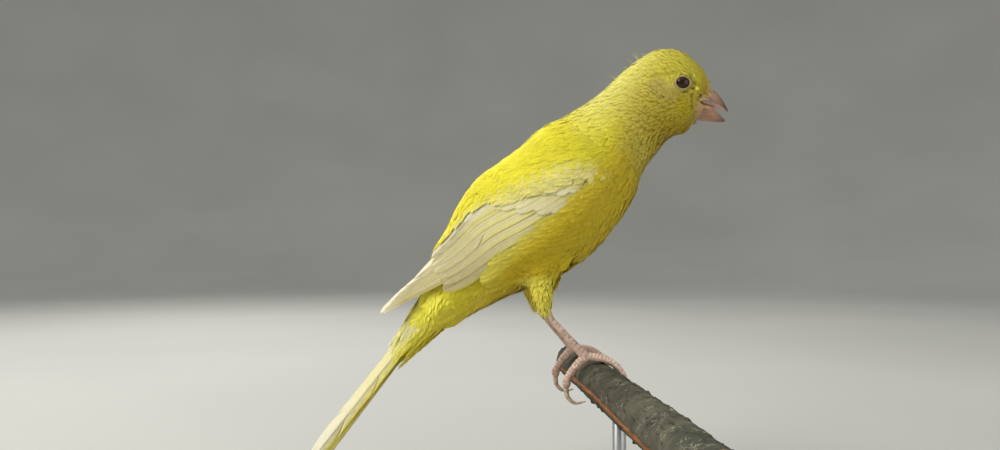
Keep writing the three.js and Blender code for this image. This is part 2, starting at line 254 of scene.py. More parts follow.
def normals_of(mesh):
    return read(mesh.vertex_normals, "vector", 3).astype(float)


def paint(mesh, name, colours):
    layer = mesh.color_attributes.new(name, "FLOAT_COLOR", "POINT")
    write(layer.data, "color", np.concatenate([colours, np.ones((len(colours), 1))], 1))


def unit(vectors):
    return vectors / np.maximum(np.linalg.norm(vectors, axis=-1, keepdims=True), 1e-9)


def step(value, low, high):
    """0 at low, 1 at high and beyond, and smooth between."""
    t = np.clip((value - low) / (high - low), 0, 1)
    return t * t * (3 - 2 * t)


def blend(first, second, mask):
    return first + (second - first) * np.asarray(mask)[:, None]


def noise_at(points, scale):
    return np.array([noise.noise(Vector(p) * scale) for p in points])


def graded(values, t):
    """A smooth line through evenly spaced values, from t = 0 to 1."""
    values = np.asarray(values, float)
    last = len(values) - 1
    at = np.clip(t, 0, 1) * last
    k = np.minimum(at.astype(int), last - 1)
    f = at - k
    p0, p1, p2, p3 = values[np.maximum(k - 1, 0)], values[k], values[k + 1], values[np.minimum(k + 2, last)]
    v0, v1 = (p2 - p0) / 2, (p3 - p1) / 2
    return (2 * p1 - 2 * p2 + v0 + v1) * f ** 3 + (3 * p2 - 3 * p1 - 2 * v0 - v1) * f ** 2 + v0 * f + p1


# The studio: a round bowl of grey paper that is floor and wall in one, and four soft lamps. The camera
# stands at the photo's angle, level with the bird's rump, and looks up by the degree and a half that its
# horizon shows.
floor_radius, wall_height = 1.1, 2.4
curve = [(floor_radius + math.sin(a), 1 - math.cos(a)) for a in np.linspace(0.08, math.pi / 2, 18)]
paper = turned("studio_paper", [(0, 0), (floor_radius, 0), *curve, (floor_radius + 1, wall_height)], 96)
paper.data.materials.append(mottled("paper", (176, 176, 173), (184, 184, 180), (0.004, 2), edges=(0.2, 0.8),
                                    Roughness=0.9))
paper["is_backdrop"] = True

target = Vector((0.0, 0.012, 0.085))
for lamp_name, spot, size, power, tint in (
        ("key", (-0.50, -0.38, 0.64), 0.5, 4.5, (1.0, 0.98, 0.93)),
        ("low", (-0.80, -0.28, 0.16), 0.5, 2.0, (1.0, 0.99, 0.95)),
        ("fill", (0.70, -0.60, 0.25), 0.8, 2.3, (1.0, 0.99, 0.96)),
        ("back", (-0.30, 0.50, 0.62), 0.45, 4.0, (1.0, 0.99, 0.95))):
    lamp = bpy.data.lights.new(lamp_name, "AREA")
    lamp.energy, lamp.size, lamp.color = power, size, tint
    stand = new_object(lamp_name + "_lamp", lamp)
    stand.location = spot
    stand.rotation_euler = (target - Vector(spot)).to_track_quat("-Z", "Y").to_euler()

world = bpy.data.worlds.new("room")
world.use_nodes = True
world.node_tree.nodes["Background"].inputs[0].default_value = (0.90, 0.90, 0.88, 1)
world.node_tree.nodes["Background"].inputs[1].default_value = 0.85
bpy.context.scene.world = world
bpy.context.scene.view_settings.view_transform = "Standard"

lens = bpy.data.cameras.new("camera")
lens.lens, lens.sensor_width, lens.clip_start = 30.0, 36.0, 0.01
camera = new_object("camera", lens)
camera.location = (-0.010, -0.2017, 0.069)
camera.rotation_euler = (math.radians(90 + 1.51), 0, 0)
bpy.context.scene.camera = camera


# The base: a turned disc of dark hardwood with a rounded upper edge and a fine groove inside it, oiled and
# rubbed.
_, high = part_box("stand_base")
radius, top = high.x, high.z
corner, corner_height = 0.0016, 0.0016 * 1.6
profile = [(0, 0), (radius - 0.001, 0), (radius, 0.001), (radius, top - corner_height)]
profile += [(radius - corner * (1 - math.cos(a)), top - corner_height + corner_height * math.sin(a))
            for a in np.linspace(0.2, math.pi / 2, 7)]
profile += [(radius - 0.006, top), (radius - 0.0064, top - 0.0004), (radius - 0.0068, top), (0, top)]
base = turned("turned_base", profile, 128)
base.data.set_sharp_from_angle(angle=math.radians(40))
wood, shader, place = finish("oiled hardwood", Coat_Weight=0.25, Coat_Roughness=0.25, Specular_IOR_Level=0.5)
grain = place.noise(0.16, 5, 0.6, (0.12, 1, 1), 0.6)
pores = place.noise(1.4, 2, 0.5, (0.06, 1, 1)).between(0.55, 0.72)
board = grain.between(0.3, 0.7).mix(srgb(92, 58, 34), srgb(140, 96, 60))
feed(shader, Base_Color=(pores * 0.5).mix(board, srgb(58, 36, 22)), Roughness=0.42 + pores * 0.2,
     bump=(1 - pores, 0.05))
settle(base, "stand_wood", ["stand_base"], wood)


# The rod: brushed steel, its ends a little chamfered, seated in the base and under the branch.
low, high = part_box("stand_rod")
rod_radius = (high.x - low.x) / 2
drawn = bmesh.new()
bmesh.ops.create_cone(drawn, cap_ends=True, segments=32, radius1=rod_radius, radius2=rod_radius,
                      depth=high.z - low.z)
rims = [e for e in drawn.edges if abs(e.verts[0].co.z - e.verts[1].co.z) < 1e-6 and len(e.link_faces) == 2]
bmesh.ops.bevel(drawn, geom=rims, offset=0.0002, segments=2, profile=0.5, affect="EDGES", material=-1)
bmesh.ops.translate(drawn, verts=drawn.verts, vec=(low + high) / 2)
rod = mesh_object("rod", drawn)
rod.data.set_sharp_from_angle(angle=math.radians(35))
steel, shader, place = finish("brushed steel", Metallic=1.0)
brushed = place.noise(3.0, 3, 0.6, (1, 1, 0.04))
feed(shader, Base_Color=brushed.between(0.2, 0.8).mix(srgb(168, 170, 172), srgb(200, 201, 203)),
     Roughness=0.28 + brushed * 0.16, bump=(brushed, 0.01))
settle(rod, "stand_steel", ["stand_rod"], steel)


# The perch: a cut length of branch in its grey-green bark, with pale scratches and warts, and one strip
# along its lower left where the bark is peeled to the orange wood. Its sawn ends show the pith and the
# rings.
origin = np.array([13.7, 15.0, 35.6])                # the perch's axis between the feet; the bird's own frame
perch = {"radius": 4.7, "front": -98.0, "back": 30.0, "slant": -0.0804}
lengths = 230


def bird(x, y, z):
    """A place in the bird's own frame."""
    return np.array([x, y, z]) + origin


branch = bmesh.new()
strip_layer = branch.verts.layers.float.new("strip")
pith_layer = branch.verts.layers.float.new("pith")
bmesh.ops.create_circle(branch, cap_ends=False, segments=96, radius=1)
rings = [list(branch.verts)]
border = first_border = list(branch.edges)
for _ in range(lengths):
    border, ring = pull_out(branch, border)
    rings.append(ring)
for k, ring in enumerate(rings):
    y = perch["front"] + (perch["back"] - perch["front"]) * k / lengths
    for vertex in ring:
        around = math.atan2(vertex.co.x, vertex.co.y)            # from straight up towards +X
        across = math.degrees(around) + 103 + 5 * math.sin(y * 0.07)
        strip = max(0.0, min(1.0, (10 + 5 * noise.noise((0, 0, y * 0.35)) - abs(across)) / 5))
        vertex[strip_layer] = strip
        spot = Vector((math.sin(around) * 5, y, math.cos(around) * 5))
        lumps = noise.noise(spot * 0.16) * 0.22 + noise.noise(spot * 0.55) * 0.10
        flakes = abs(noise.noise(Vector((spot.x * 1.1, spot.y * 0.45, spot.z * 1.1)))) * 0.16 \
            + noise.noise(spot * 3) * 0.035
        warts = max(0.0, noise.noise(Vector((spot.x, spot.y * 1.5, spot.z)) * 0.75) - 0.42) * 1.1
        bark = lumps + flakes + warts
        fibres = 0.04 * strip * noise.noise((across * 0.4, y * 0.06, 3))
        height = perch["radius"] - 0.12 + bark * (1 - strip) - 0.28 * strip + fibres
        vertex.co = Vector((origin[0] + perch["slant"] * y + height * math.sin(around), origin[1] + y,
                            origin[2] + height * math.cos(around))) * MM
for ring, edges in ((rings[0], first_border), (rings[-1], border)):
    centre = sum((v.co for v in ring), Vector()) / len(ring)
    for before, now in ((1, 0.93), (0.93, 0.7), (0.7, 0.45), (0.45, 0.2)):
        edges, inner = pull_out(branch, edges)
        for vertex in inner:
            vertex.co = centre + (vertex.co - centre) * now / before
            vertex[pith_layer] = 1 - now
    bmesh.ops.contextual_create(branch, geom=edges)
bmesh.ops.recalc_face_normals(branch, faces=branch.faces)
perch_piece = mesh_object("branch", branch)
perch_piece.data.set_sharp_from_angle(angle=math.radians(50))
bark, shader, place = finish("bark", Specular_IOR_Level=0.3)
strip = place.node("Attribute", {"attribute_name": "strip"}, output=2)
grey = place.noise(0.16, 4, 0.6).between(0.35, 0.65).mix(srgb(60, 62, 50), srgb(86, 83, 69))
cracks = place.noise(0.9, 4, 0.7, (1, 0.35, 1)).between(0.33, 0.46)
scored = (place.noise(0.55, 3, 0.55, (0.5, 1.1, 1.2), 1.2) - 0.5).math("ABSOLUTE").between(0.016, 0.006)
scuffs = scored * place.noise(0.28, 2).between(0.5, 0.6)
lichen = place.noise(0.5, 3, 0.7).between(0.63, 0.7)
whole = (scuffs * 0.85).mix(cracks.mix(srgb(40, 40, 33), grey), srgb(170, 164, 138))
whole = (lichen * 0.4).mix(whole, srgb(112, 111, 92))
fibre = place.noise(1.3, 4, 0.65, (1, 0.05, 1))
wound = fibre.between(0.3, 0.7).mix(srgb(108, 66, 32), srgb(196, 120, 56))
feed(shader, Base_Color=strip.between(0.3, 0.7).mix(whole, wound), Roughness=0.9 - 0.3 * strip,
     bump=(cracks * 0.4 + place.noise(2.5, 4, 0.7) * 0.4 + fibre * strip * 0.6, 0.18))
pith, shader, place = finish("sawn end", Roughness=0.85)
ring_wave = place.node("Attribute", {"attribute_name": "pith"}, output=2) * 40 + place.noise(0.4, 2) * 3
ring_wave = ring_wave.math("SINE")
feed(shader, Base_Color=ring_wave.between(-0.6, 0.9).mix(srgb(150, 116, 74), srgb(196, 166, 120)),
     bump=(ring_wave, 0.03))
for polygon in perch_piece.data.polygons:
    if abs(polygon.normal.y) > 0.95:
        polygon.material_index = 1
settle(perch_piece, "bark", ["perch"], bark, pith)


# The skin: one surface made from the solids of head, neck, torso and thighs, sunk by the depth of the
# plumage. It shows only as a yellow ground between the feathers, and carries their markings and painted
# shade.
shoulder = bird(1.3, 0, 58.4)                  # where the trunk's straight axis starts, and its directions
fall = 0.7984
trunk_back = np.array([-math.cos(fall), 0, -math.sin(fall)])
trunk_up = np.array([-math.sin(fall), 0, math.cos(fall)])
tail = {"length": 53.5, "pairs": 6, "half": 2.8, "notch": 3.2, "roll": math.radians(37), "droop": 0.1,
        "rise": 2.4, "from": 59}
tail_back = trunk_back * math.cos(tail["droop"]) - trunk_up * math.sin(tail["droop"])
tail_up = trunk_up * math.cos(tail["droop"]) + trunk_back * math.sin(tail["droop"])
tail_up = np.array(Matrix.Rotation(-tail["roll"], 3, Vector(tail_back)) @ Vector(tail_up))
tail_side = np.cross(tail_up, tail_back)
tail_start = shoulder + tail["from"] * trunk_back + tail["rise"] * trunk_up

flesh_nodes = ("torso", "neck", "head", "thigh_right", "thigh_left")
flesh = bmesh.new()
for node in flesh_nodes:
    part = at_rest(node)
    copy = bpy.data.meshes.new(node)
    part.to_mesh(copy)
    part.free()
    flesh.from_mesh(copy)
    bpy.data.meshes.remove(copy)

# The stump that the tail's feathers are rooted in: rings by how far back they lie, half as wide and deep,
# and how low.
ring = bmesh.ops.create_circle(flesh, cap_ends=True, segments=24, radius=1)["verts"]
border = [e for e in flesh.edges if all(v in ring for v in e.verts)]
last = None
for v, wide, deep, drop in ((-7, 4.6, 4.6, -0.6), (0, 4.9, 4.6, -0.9), (6, 4.3, 3.7, -1.2),
                            (13, 3.3, 2.3, -1.3), (20, 2.3, 1.2, -1.2), (21, 0.8, 0.4, -1.2)):
    if last:
        border, ring = pull_out(flesh, border)
    for vertex in ring:
        a, c = vertex.co.x, vertex.co.y
        if last:
            off = np.array(vertex.co) - last[0]
            a, c = off @ tail_side / last[1], off @ tail_up / last[2]
        vertex.co = Vector(tail_start + tail_back * v + tail_side * a * wide + tail_up * (c * deep + drop))
    last = (tail_start + tail_back * v + tail_up * drop, wide, deep)
bmesh.ops.contextual_create(flesh, geom=border)
bmesh.ops.scale(flesh, vec=(MM, MM, MM), verts=[v for v in flesh.verts if v.co.length > 1])

# Lumps that fill the hollows before and behind each thigh and over the bill.
for x, y, z, size in ((-10.6, 6.8, 28.3, (3.8, 3.2, 3.8)), (-17.4, 6.4, 27.2, (3.8, 3.2, 3.9)),
                      (22.9, 0, 65.7, (3.3, 3.6, 3.4))):
    for side in (-1, 1):
        lump = Matrix.Translation(Vector(bird(x, side * y, z)) * MM) @ Matrix.Diagonal((*size, 1))
        bmesh.ops.create_icosphere(flesh, subdivisions=3, radius=MM, matrix=lump)
body = mesh_object("skin", flesh)
one_surface(body, 0.0006, 8)

# Places that the plumage is laid out from: the bill's root, the eyes and the thighs, with the radius at
# each place.
bill_root = bird(31.0, 0, 70.8)
eye_place = {side: bird(22.3, side * 6.0, 74.7) for side in (-1, 1)}
thigh_line = ((-15.2, 6.0, 33.0, 5.2), (-13.8, 7.8, 26.0, 3.9), (-13.0, 9.0, 20.5, 2.9),
              (-12.2, 9.0, 16.3, 1.5))


def axis_places(points):
    """How far back along the trunk each point is, and how far above the trunk's axis."""
    away = points - shoulder
    return away @ trunk_back, away @ trunk_up


def bill_distance(points):
    return np.linalg.norm(points - bill_root, axis=1)


def eye_distance(points):
    """How far each point is from the nearer eye, as seen from the side."""
    return np.minimum(*(np.hypot(points[:, 0] - e[0], points[:, 2] - e[2]) for e in eye_place.values())) \
        + 100 * (np.abs(points[:, 1] - origin[1]) < 4)


def on_thigh(points):
    """1 on the feathered legs below the belly, 0 on the body."""
    near = np.full(len(points), 99.0)
    for side in (-1, 1):
        shift = 0.0 if side < 0 else perch["slant"] * 18
        for (x0, y0, z0, r0), (x1, y1, z1, r1) in zip(thigh_line, thigh_line[1:]):
            a, b = (bird(x + shift, side * y, z) for x, y, z in ((x0, y0, z0), (x1, y1, z1)))
            t = np.clip((points - a) @ (b - a) / ((b - a) @ (b - a)), 0, 1)
            away = np.linalg.norm(points - a - t[:, None] * (b - a), axis=1)
            near = np.minimum(near, away - (r0 + (r1 - r0) * t))
    return step(near, 2.6, 0.8) * step(points[:, 2], origin[2] + 27.5, origin[2] + 23.5)


def coat_depth(points):
    """How far the plumage stands above the skin."""
    face = bill_distance(points)
    depth = 0.35 + 0.65 * step(face, 5, 18) + 0.35 * step(face, 22, 40)
    depth = np.minimum(depth, 0.25 + 0.5 * step(eye_distance(points), 2.2, 5))
    return np.where(on_thigh(points) > 0.5, 0.7, depth)


outer = points_of(body.data)
skin_points = outer - normals_of(body.data) * coat_depth(outer)[:, None]
write(body.data.vertices, "co", skin_points * MM)
body.data.update()
skin_normals = normals_of(body.data)


# The markings and painted shade: lemon yellow, brightest on the mantle and rump, frosted pale on the nape,
# duller and a little olive on crown and cheek, ochre about the bill and throat, deep gold on the breast and
# paler at the vent and thighs. The dulling from crown down to cheek and the throat's ochre are partly the
# plumage's own colour and partly painted shade under the head; a thin dark line before each eye is painted
# shade where the loral feathers meet.
plumage = {
    "mantle": (236, 225, 60), "rump": (236, 223, 50), "breast": (216, 192, 52), "belly": (222, 199, 50),
    "vent": (244, 232, 84), "nape": (232, 224, 116), "neck": (214, 196, 82), "crown": (220, 208, 76),
    "cheek": (206, 188, 68), "dusk": (200, 182, 104), "gold": (216, 192, 46), "face": (196, 160, 72),
    "gape": (204, 170, 128), "olive": (128, 108, 52), "throat": (194, 168, 50), "thigh": (240, 228, 92),
    "coverts": (246, 240, 160), "undertail": (246, 238, 86),
}
plumage = {name: np.array(srgb(*colour)[:3]) for name, colour in plumage.items()}
strokes = (                                # colour, how strong, from where to where in the side view, width
    ("dusk", 0.6, (16.0, 73.6), (19.0, 72.4), 3.6), ("gold", 0.7, (22.2, 69.4), (23.4, 68.6), 2.4),
    ("gold", 0.5, (28.5, 77.6), (29.2, 76.0), 2.4), ("olive", 0.3, (14.8, 76.7), (20.4, 77.4), 0.8),
    # The two strokes on the next line, from the eye's front corner down towards the gape, are painted shade
    # where the loral feathers meet.
    ("olive", 0.55, (25.3, 73.6), (24.6, 71.6), 0.55), ("olive", 0.4, (24.6, 71.6), (25.0, 68.6), 0.5),
)


def stroke(points, start, end, half):
    """1 along a stroke between two places of the side view, fading out at half its width."""
    at = points[:, [0, 2]] - origin[[0, 2]]
    start, span = np.array(start), np.array(end) - np.array(start) + 1e-6
    t = np.clip((at - start) @ span / (span @ span), 0, 1)
    return step(np.linalg.norm(at - start - t[:, None] * span, axis=1), half, half * 0.35)


def markings_and_shade(points):
    """The colour of the plumage at each point, with painted shade on the lower head and throat and before the
    eyes.
    """
    u, n = axis_places(points)
    z = (points - origin)[:, 2]
    face = bill_distance(points)
    # From crown down to cheek the head dulls: partly the cheek's own colour, partly painted shade under the
    # head.
    head = blend(np.tile(plumage["crown"], (len(points), 1)), plumage["cheek"], step(z, 77, 66))
    colour = np.tile(plumage["breast"], (len(points), 1))
    for shade, mask in [
            ("belly", step(u, 14, 34)), ("vent", step(u, 36, 50)), ("mantle", step(n, -7, 2)),
            ("rump", step(n, 0, 6) * step(u, 34, 44)), ("undertail", step(u, 50, 58)),
            ("thigh", on_thigh(points)), ("neck", step(face, 33, 24)),
            ("nape", step(face, 42, 30) * step(n, -1, 9)), (head, step(face, 25, 13)),
            # The throat's ochre is partly its own colour and partly painted shade under the head.
            ("throat", step(face, 24, 12) * step(z, 68, 63)),
            *((name, share * stroke(points, *line)) for name, share, *line in strokes),
            ("face", step(face, 9, 5) * 0.8),
            ("gape", 0.85 * stroke(points, (27.4, 69.0), (27.2, 66.6), 2.0))]:
        colour = blend(colour, plumage[shade] if isinstance(shade, str) else shade, mask)
    return colour


def mottling(points, seed, patch=0.07, each=0.045):
    """How each feather's colour differs from the markings, in soft patches and from one to the next."""
    rng = np.random.default_rng(seed)
    tone = 1 + patch * noise_at(points, 0.22) + rng.normal(0, each, len(points))
    return np.stack([tone, tone, tone * (1 + rng.normal(0, 0.06, len(points)))], 1)


def down_finish(name, shade):
    """The silky, matt finish of body feathers, as bright as shade."""
    dark, light = (shade * 0.9, shade * 0.9, shade * 0.88, 1), (shade * 1.04, shade * 1.04, shade * 1.02, 1)
    return keratin(name, dark, light, 1.6, 3.0, 0.015, Roughness=0.7, Specular_IOR_Level=0.12,
                   Sheen_Weight=0.03, Sheen_Roughness=0.5)


paint(body.data, "markings_and_shade", np.clip(markings_and_shade(skin_points) * mottling(skin_points, 1), 0, 1))
body.data.shade_smooth()
bpy.context.view_layer.objects.active = body
body.select_set(True)
bpy.ops.object.mode_set(mode="EDIT")
bpy.ops.mesh.select_all(action="SELECT")
bpy.ops.uv.smart_project(angle_limit=math.radians(60), island_margin=0.004)
bpy.ops.object.mode_set(mode="OBJECT")
body.select_set(False)
body.data.uv_layers[0].name = "OFBake"
settle(body, "plumage_yellow", flesh_nodes, down_finish("skin under the feathers", 0.97))


# Body feathers: each is a soft vane of barbs on both sides of a shaft, rooted in the skin and lying back
# along the flow of the coat, over the next. They are shortest about bill and eye, and longest on back,
# belly and vent.
def flow(points, normals):
    """The way the plumage lies: back over head and neck, round the eyes, along the trunk, down the legs."""
    from_bill = unit(points - bill_root)
    course = from_bill + (trunk_back - from_bill) * step(bill_distance(points), 20, 38)[:, None]
    course = course + (tail_back - course) * step(axis_places(points)[0], 50, 60)[:, None]
    down = np.tile([0.12, 0, -1.0], (len(points), 1))
    legs = on_thigh(points) * step(points[:, 2], origin[2] + 26.5, origin[2] + 22.5)
    course = course + (down - course) * (legs * step(normals[:, 2], -0.9, -0.6))[:, None]
    for e in eye_place.values():
        off = points - e
        off[:, 1] = 0
        close = (step(np.linalg.norm(off, axis=1), 5.5, 2.4) * (np.abs(points[:, 1] - e[1]) < 5))[:, None]
        off = unit(off)
        toward = np.minimum(0, np.sum(course * off, 1, keepdims=True))
        past = np.stack([0 * off[:, 0], 0 * off[:, 1], np.where(off[:, 2] > -0.1, 1, -1)], 1)
        course = course + close * (off * (0.12 - toward) - 0.4 * toward * past)
    return unit(course - normals * np.sum(course * normals, 1, keepdims=True))


def spread(mesh, spacing, seed):
    """Places strewn evenly on the mesh, spacing(points) apart: points, normals and OFBake map places."""
    rng, tries = np.random.default_rng(seed), 90000
    mesh.calc_loop_triangles()
    triangles, loops = (read(mesh.loop_triangles, key, 3, np.int32) for key in ("vertices", "loops"))
    uv = read(mesh.uv_layers["OFBake"].data, "uv", 2)
    at, up = points_of(mesh), normals_of(mesh)
    a, b, c = (at[triangles[:, k]] for k in range(3))
    area = np.linalg.norm(np.cross(b - a, c - a), axis=1)
    chosen = rng.choice(len(area), tries, p=area / area.sum())
    weights = rng.dirichlet((1, 1, 1), tries)
    points, normals, places = (np.einsum("ij,ijk->ik", weights, corners[chosen])
                               for corners in (at[triangles], up[triangles], uv[loops]))
    gaps = spacing(points)
    tree = KDTree(tries)
    for i, p in enumerate(points):
        tree.insert(p, i)
    tree.balance()
    free, kept = gaps > 0, []
    for i in range(tries):
        if free[i]:
            kept.append(i)
            for _, j, _ in tree.find_range(points[i], gaps[i]):
                free[j] = False
    return points[kept], unit(normals)[kept], places[kept]


def barbed_vane(rng, barbs):
    """One body feather's barbs as flat ribbons, an oval with a round soft end: places along (0..1) and across
    (1 is as long as the shaft), the height of each, and triangles."""
    opening, close, reach, fray = 42, 20, 0.34, 0.12          # the barbs' angles at root and tip, and lengths
    along, across, height, faces = [], [], [], []
    for side in (-1, 1):
        for k in range(barbs):
            s = 0.05 + 0.87 * (k + rng.uniform(-0.25, 0.25)) / (barbs - 1)
            angle = math.radians(opening + (close - opening) * s ** 1.3 + rng.normal(0, 2.5))
            oval = (0.6 + 0.4 * math.sin(math.pi * min(1, s * 1.1 + 0.15))) * (1 - 0.62 * s ** 4)
            long = reach * oval * (1 + rng.normal(0, fray))
            width = 0.5 * 0.87 / (barbs - 1)
            lift = rng.normal(0, 0.012)
            first = len(along)
            for t, wide in ((0, 1.0), (0.6, 0.95)):
                bend = angle * (1 - 0.3 * t)
                for edge in (-1, 1):
                    along.append(s + long * t * math.cos(bend) - edge * width * wide * math.sin(bend))
                    out = edge * width * wide * math.cos(bend) * (t > 0)
                    across.append(side * (long * t * math.sin(bend) + out))
                    height.append(lift * t + 0.003 * edge)
            along.append(s + long * math.cos(angle * 0.7))
            across.append(side * long * math.sin(angle * 0.7))
            height.append(lift)
            faces += [[first + v for v in corners[::side]] for corners in ((0, 1, 3), (0, 3, 2), (2, 3, 4))]
    return np.array(along), np.array(across), np.array(height), np.array(faces)


vane_half = 0.25                           # about half the width of such a feather, by the same measure


surface = BVHTree.FromPolygons([tuple(point) for point in skin_points],
                               [tuple(polygon.vertices) for polygon in body.data.polygons])


def nearest_places(points):
    """The places on the skin's OFBake map nearest to each point."""
    corners, polygons = body.data.uv_layers["OFBake"].uv, body.data.polygons
    nearest = [surface.find_nearest(Vector(point))[2] for point in points]
    return np.array([np.array(corners[polygons[face].loop_start].vector) for face in nearest])


def lie_along(points, normals, course, lengths, end_height):
    """Each feather's course as a Hermite curve: its end, the ways at root and end, and the end's normal."""
    ends, end_normals = points + course * lengths[:, None], normals.copy()
    for i, end in enumerate(ends):
        found, normal, _, distance = surface.find_nearest(Vector(end))
        gained = (np.array(found) - points[i]) @ course[i]
        if distance < max(1.2, 0.5 * lengths[i]) and gained > 0.7 * lengths[i]:
            ends[i], end_normals[i] = found, normal
    end_normals = unit(end_normals)
    rise = 0.2
    start = unit(course * math.cos(rise) + normals * math.sin(rise))
    end_way = unit(course - end_normals * np.sum(course * end_normals, 1, keepdims=True))
    return ends + end_normals * end_height[:, None], start, end_way, end_normals


feather_finish = down_finish("feather", 1.0)


def feather_piece(name, parts, slot, material=feather_finish):
    """Joins parts as one piece. Each is its points, triangles, places on the OFBake map and colours."""
    starts = np.cumsum([0] + [len(part[0]) for part in parts])
    faces = np.concatenate([part[1] + start for part, start in zip(parts, starts)])
    verts, uvs, tints = (np.concatenate([part[k] for part in parts]) for k in (0, 2, 3))
    mesh = bpy.data.meshes.new(name)
    mesh.vertices.add(len(verts))
    write(mesh.vertices, "co", verts * MM)
    mesh.loops.add(faces.size)
    write(mesh.loops, "vertex_index", faces, np.int32)
    mesh.polygons.add(len(faces))
    write(mesh.polygons, "loop_start", np.arange(0, faces.size, 3), np.int32)
    mesh.update(calc_edges=True)
    mesh.validate()
    mesh.shade_smooth()
    write(mesh.uv_layers.new(name="OFBake").data, "uv", uvs[faces.ravel()])
    paint(mesh, "markings_and_shade", np.clip(tints, 0, 1))
    return settle(new_object(name, mesh), slot, (), material)


def tufts(name, place, places, colour_at, tones, slot, rng, barbs=16):
    """Joins soft feathers of eight patterns as one piece: place(which, along, across, height) gives their
    points, each of which takes the colour at its place, changed by its feather's tone."""
    parts = []
    kinds = rng.integers(0, 8, len(places))
    for kind in range(8):
        these = np.nonzero(kinds == kind)[0]
        along, across, height, triangles = barbed_vane(rng, barbs)
        if not len(these):
            continue
        points = place(these, along, across, height).reshape(-1, 3)
        faces = (triangles[None] + (np.arange(len(these)) * len(along))[:, None, None]).reshape(-1, 3)
        patch = np.stack([across * 0.9, np.clip(along, 0, 1) - 0.5], 1)
        uvs = (places[these][:, None] + 0.003 * patch[None]).reshape(-1, 2)
        shade = (0.94 + 0.08 * np.clip(along, 0, 1))[None, :, None]
        parts.append((points, faces, uvs, colour_at(points) * (tones[these][:, None] * shade).reshape(-1, 3)))
    return feather_piece(name, parts, slot)


def feather_spacing(points):
    """How far apart the roots are, and 0 where the bird is bare: eyes, mouth, gape, shins and tail."""
    face = bill_distance(points)
    gap = 0.44 + 0.17 * step(face, 5, 14) + 0.37 * step(face, 26, 40)
    gap = gap + (0.55 - gap) * np.minimum(1, 2 * on_thigh(points))
    x, y, z = (points - origin).T
    mouth = (x > 27.2) & (z < 75.2) & (z > 66.4) & (np.abs(y) < 3.1)
    ragged = 0.5 * np.sin(z * 4.1) + 0.35 * np.sin(z * 9.7 + 1) + 0.3 * np.sin(y * 3)
    corner = (x > 26.9 + ragged) & (z < 70.6) & (z > 67.2)
    chin = (x > 26.4) & (z < 66.4)
    bare = (eye_distance(points) < 2.35) | (z < 15.8) | mouth | corner | chin | (x > 29.7)
    return np.where(bare | (axis_places(points)[0] > 66), 0, gap)


def feather_length(points):
    face = bill_distance(points)
    u, _ = axis_places(points)
    long = 1.3 + 1.2 * step(face, 5, 14) + 1.1 * step(face, 17, 28) + 3.0 * step(face, 30, 48)
    long = long + 2.2 * step(u, 30, 56)
    above_legs = on_thigh(points - np.array([0, 0, 4.5]))
    long = long * (1 - 0.45 * above_legs)
    legs = np.minimum(1, 5 * on_thigh(points))
    long = long + (1.9 + 0.06 * (points[:, 2] - origin[2] - 16) - long) * legs
    return np.minimum(long, np.maximum(eye_distance(points) - 1.1, 0.75))


def feather_width(points):
    return (0.36 - 0.08 * on_thigh(points)) * feather_length(points) + 0.15


def lay_coat(name, points, normals, places, slot, seed, ruffle, loose):
    """Lays one soft feather on each point and joins them as one piece."""
    rng = np.random.default_rng(seed)
    count = len(points)
    course = flow(points, normals)
    course = unit(course + np.cross(normals, course) * rng.normal(0, 0.09, count)[:, None])
    lengths = feather_length(points) * rng.uniform(0.88, 1.12, count)
    widths = feather_width(points) * rng.uniform(0.9, 1.1, count)
    heights = coat_depth(points) * rng.uniform(0.95 - loose, 0.95, count)
    heights = heights + ruffle * lengths * rng.uniform(0, 1, count) ** 4
    end, start, end_way, end_normals = lie_along(points, normals, course, lengths, heights)

    def place(these, along, across, height):
        s = np.clip(along, 0, 1.05)[None, :, None]
        long = lengths[these, None]
        first, last = points[these][:, None], end[these][:, None]
        m0, m1 = (start[these] * long)[:, None], (end_way[these] * long)[:, None]
        middle = ((2 * s ** 3 - 3 * s ** 2 + 1) * first + (s ** 3 - 2 * s ** 2 + s) * m0
                  + (3 * s ** 2 - 2 * s ** 3) * last + (s ** 3 - s ** 2) * m1)
        up = unit(normals[these][:, None] * (1 - s) + end_normals[these][:, None] * s)
        way = unit(course[these][:, None] * (1 - s) + end_way[these][:, None] * s)
        wide = across[None, :, None] / vane_half * widths[these, None, None]
        rise = height[None, :, None] * long[:, None] - 0.04 * wide ** 2
        return middle + np.cross(up, way) * wide + up * rise

    return tufts(name, place, places, markings_and_shade, mottling(points, seed, 0.07, 0.02 + 0.05 * loose), slot, rng)


roots, root_normals, root_places = spread(body.data, feather_spacing, 11)
u, n = axis_places(roots)
face = bill_distance(roots)
regions = {"coat_head": face < 19, "coat_neck": (face >= 19) & (u < 3)}
trunk_part = ~(regions["coat_head"] | regions["coat_neck"])
legs = on_thigh(roots) > 0.5
regions["coat_thighs"] = trunk_part & legs
trunk_part &= ~legs
regions["coat_back"] = trunk_part & (n > 4) & (u < 34)
regions["coat_breast"] = trunk_part & (n <= 4) & (u < 22)
regions["coat_belly"] = trunk_part & (n <= 4) & (u >= 22)
regions["coat_rump"] = trunk_part & (n > 4) & (u >= 34)
for number, (name, mask) in enumerate(regions.items()):
    slot = "plumage_head" if name == "coat_head" else "plumage_yellow"
    ruffle = 0.006 if name in ("coat_head", "coat_neck", "coat_thighs") else 0.02
    loose = 0.14 if name in ("coat_head", "coat_neck") else 0.4
    lay_coat(name, roots[mask], root_normals[mask], root_places[mask], slot, 100 + number, ruffle, loose)


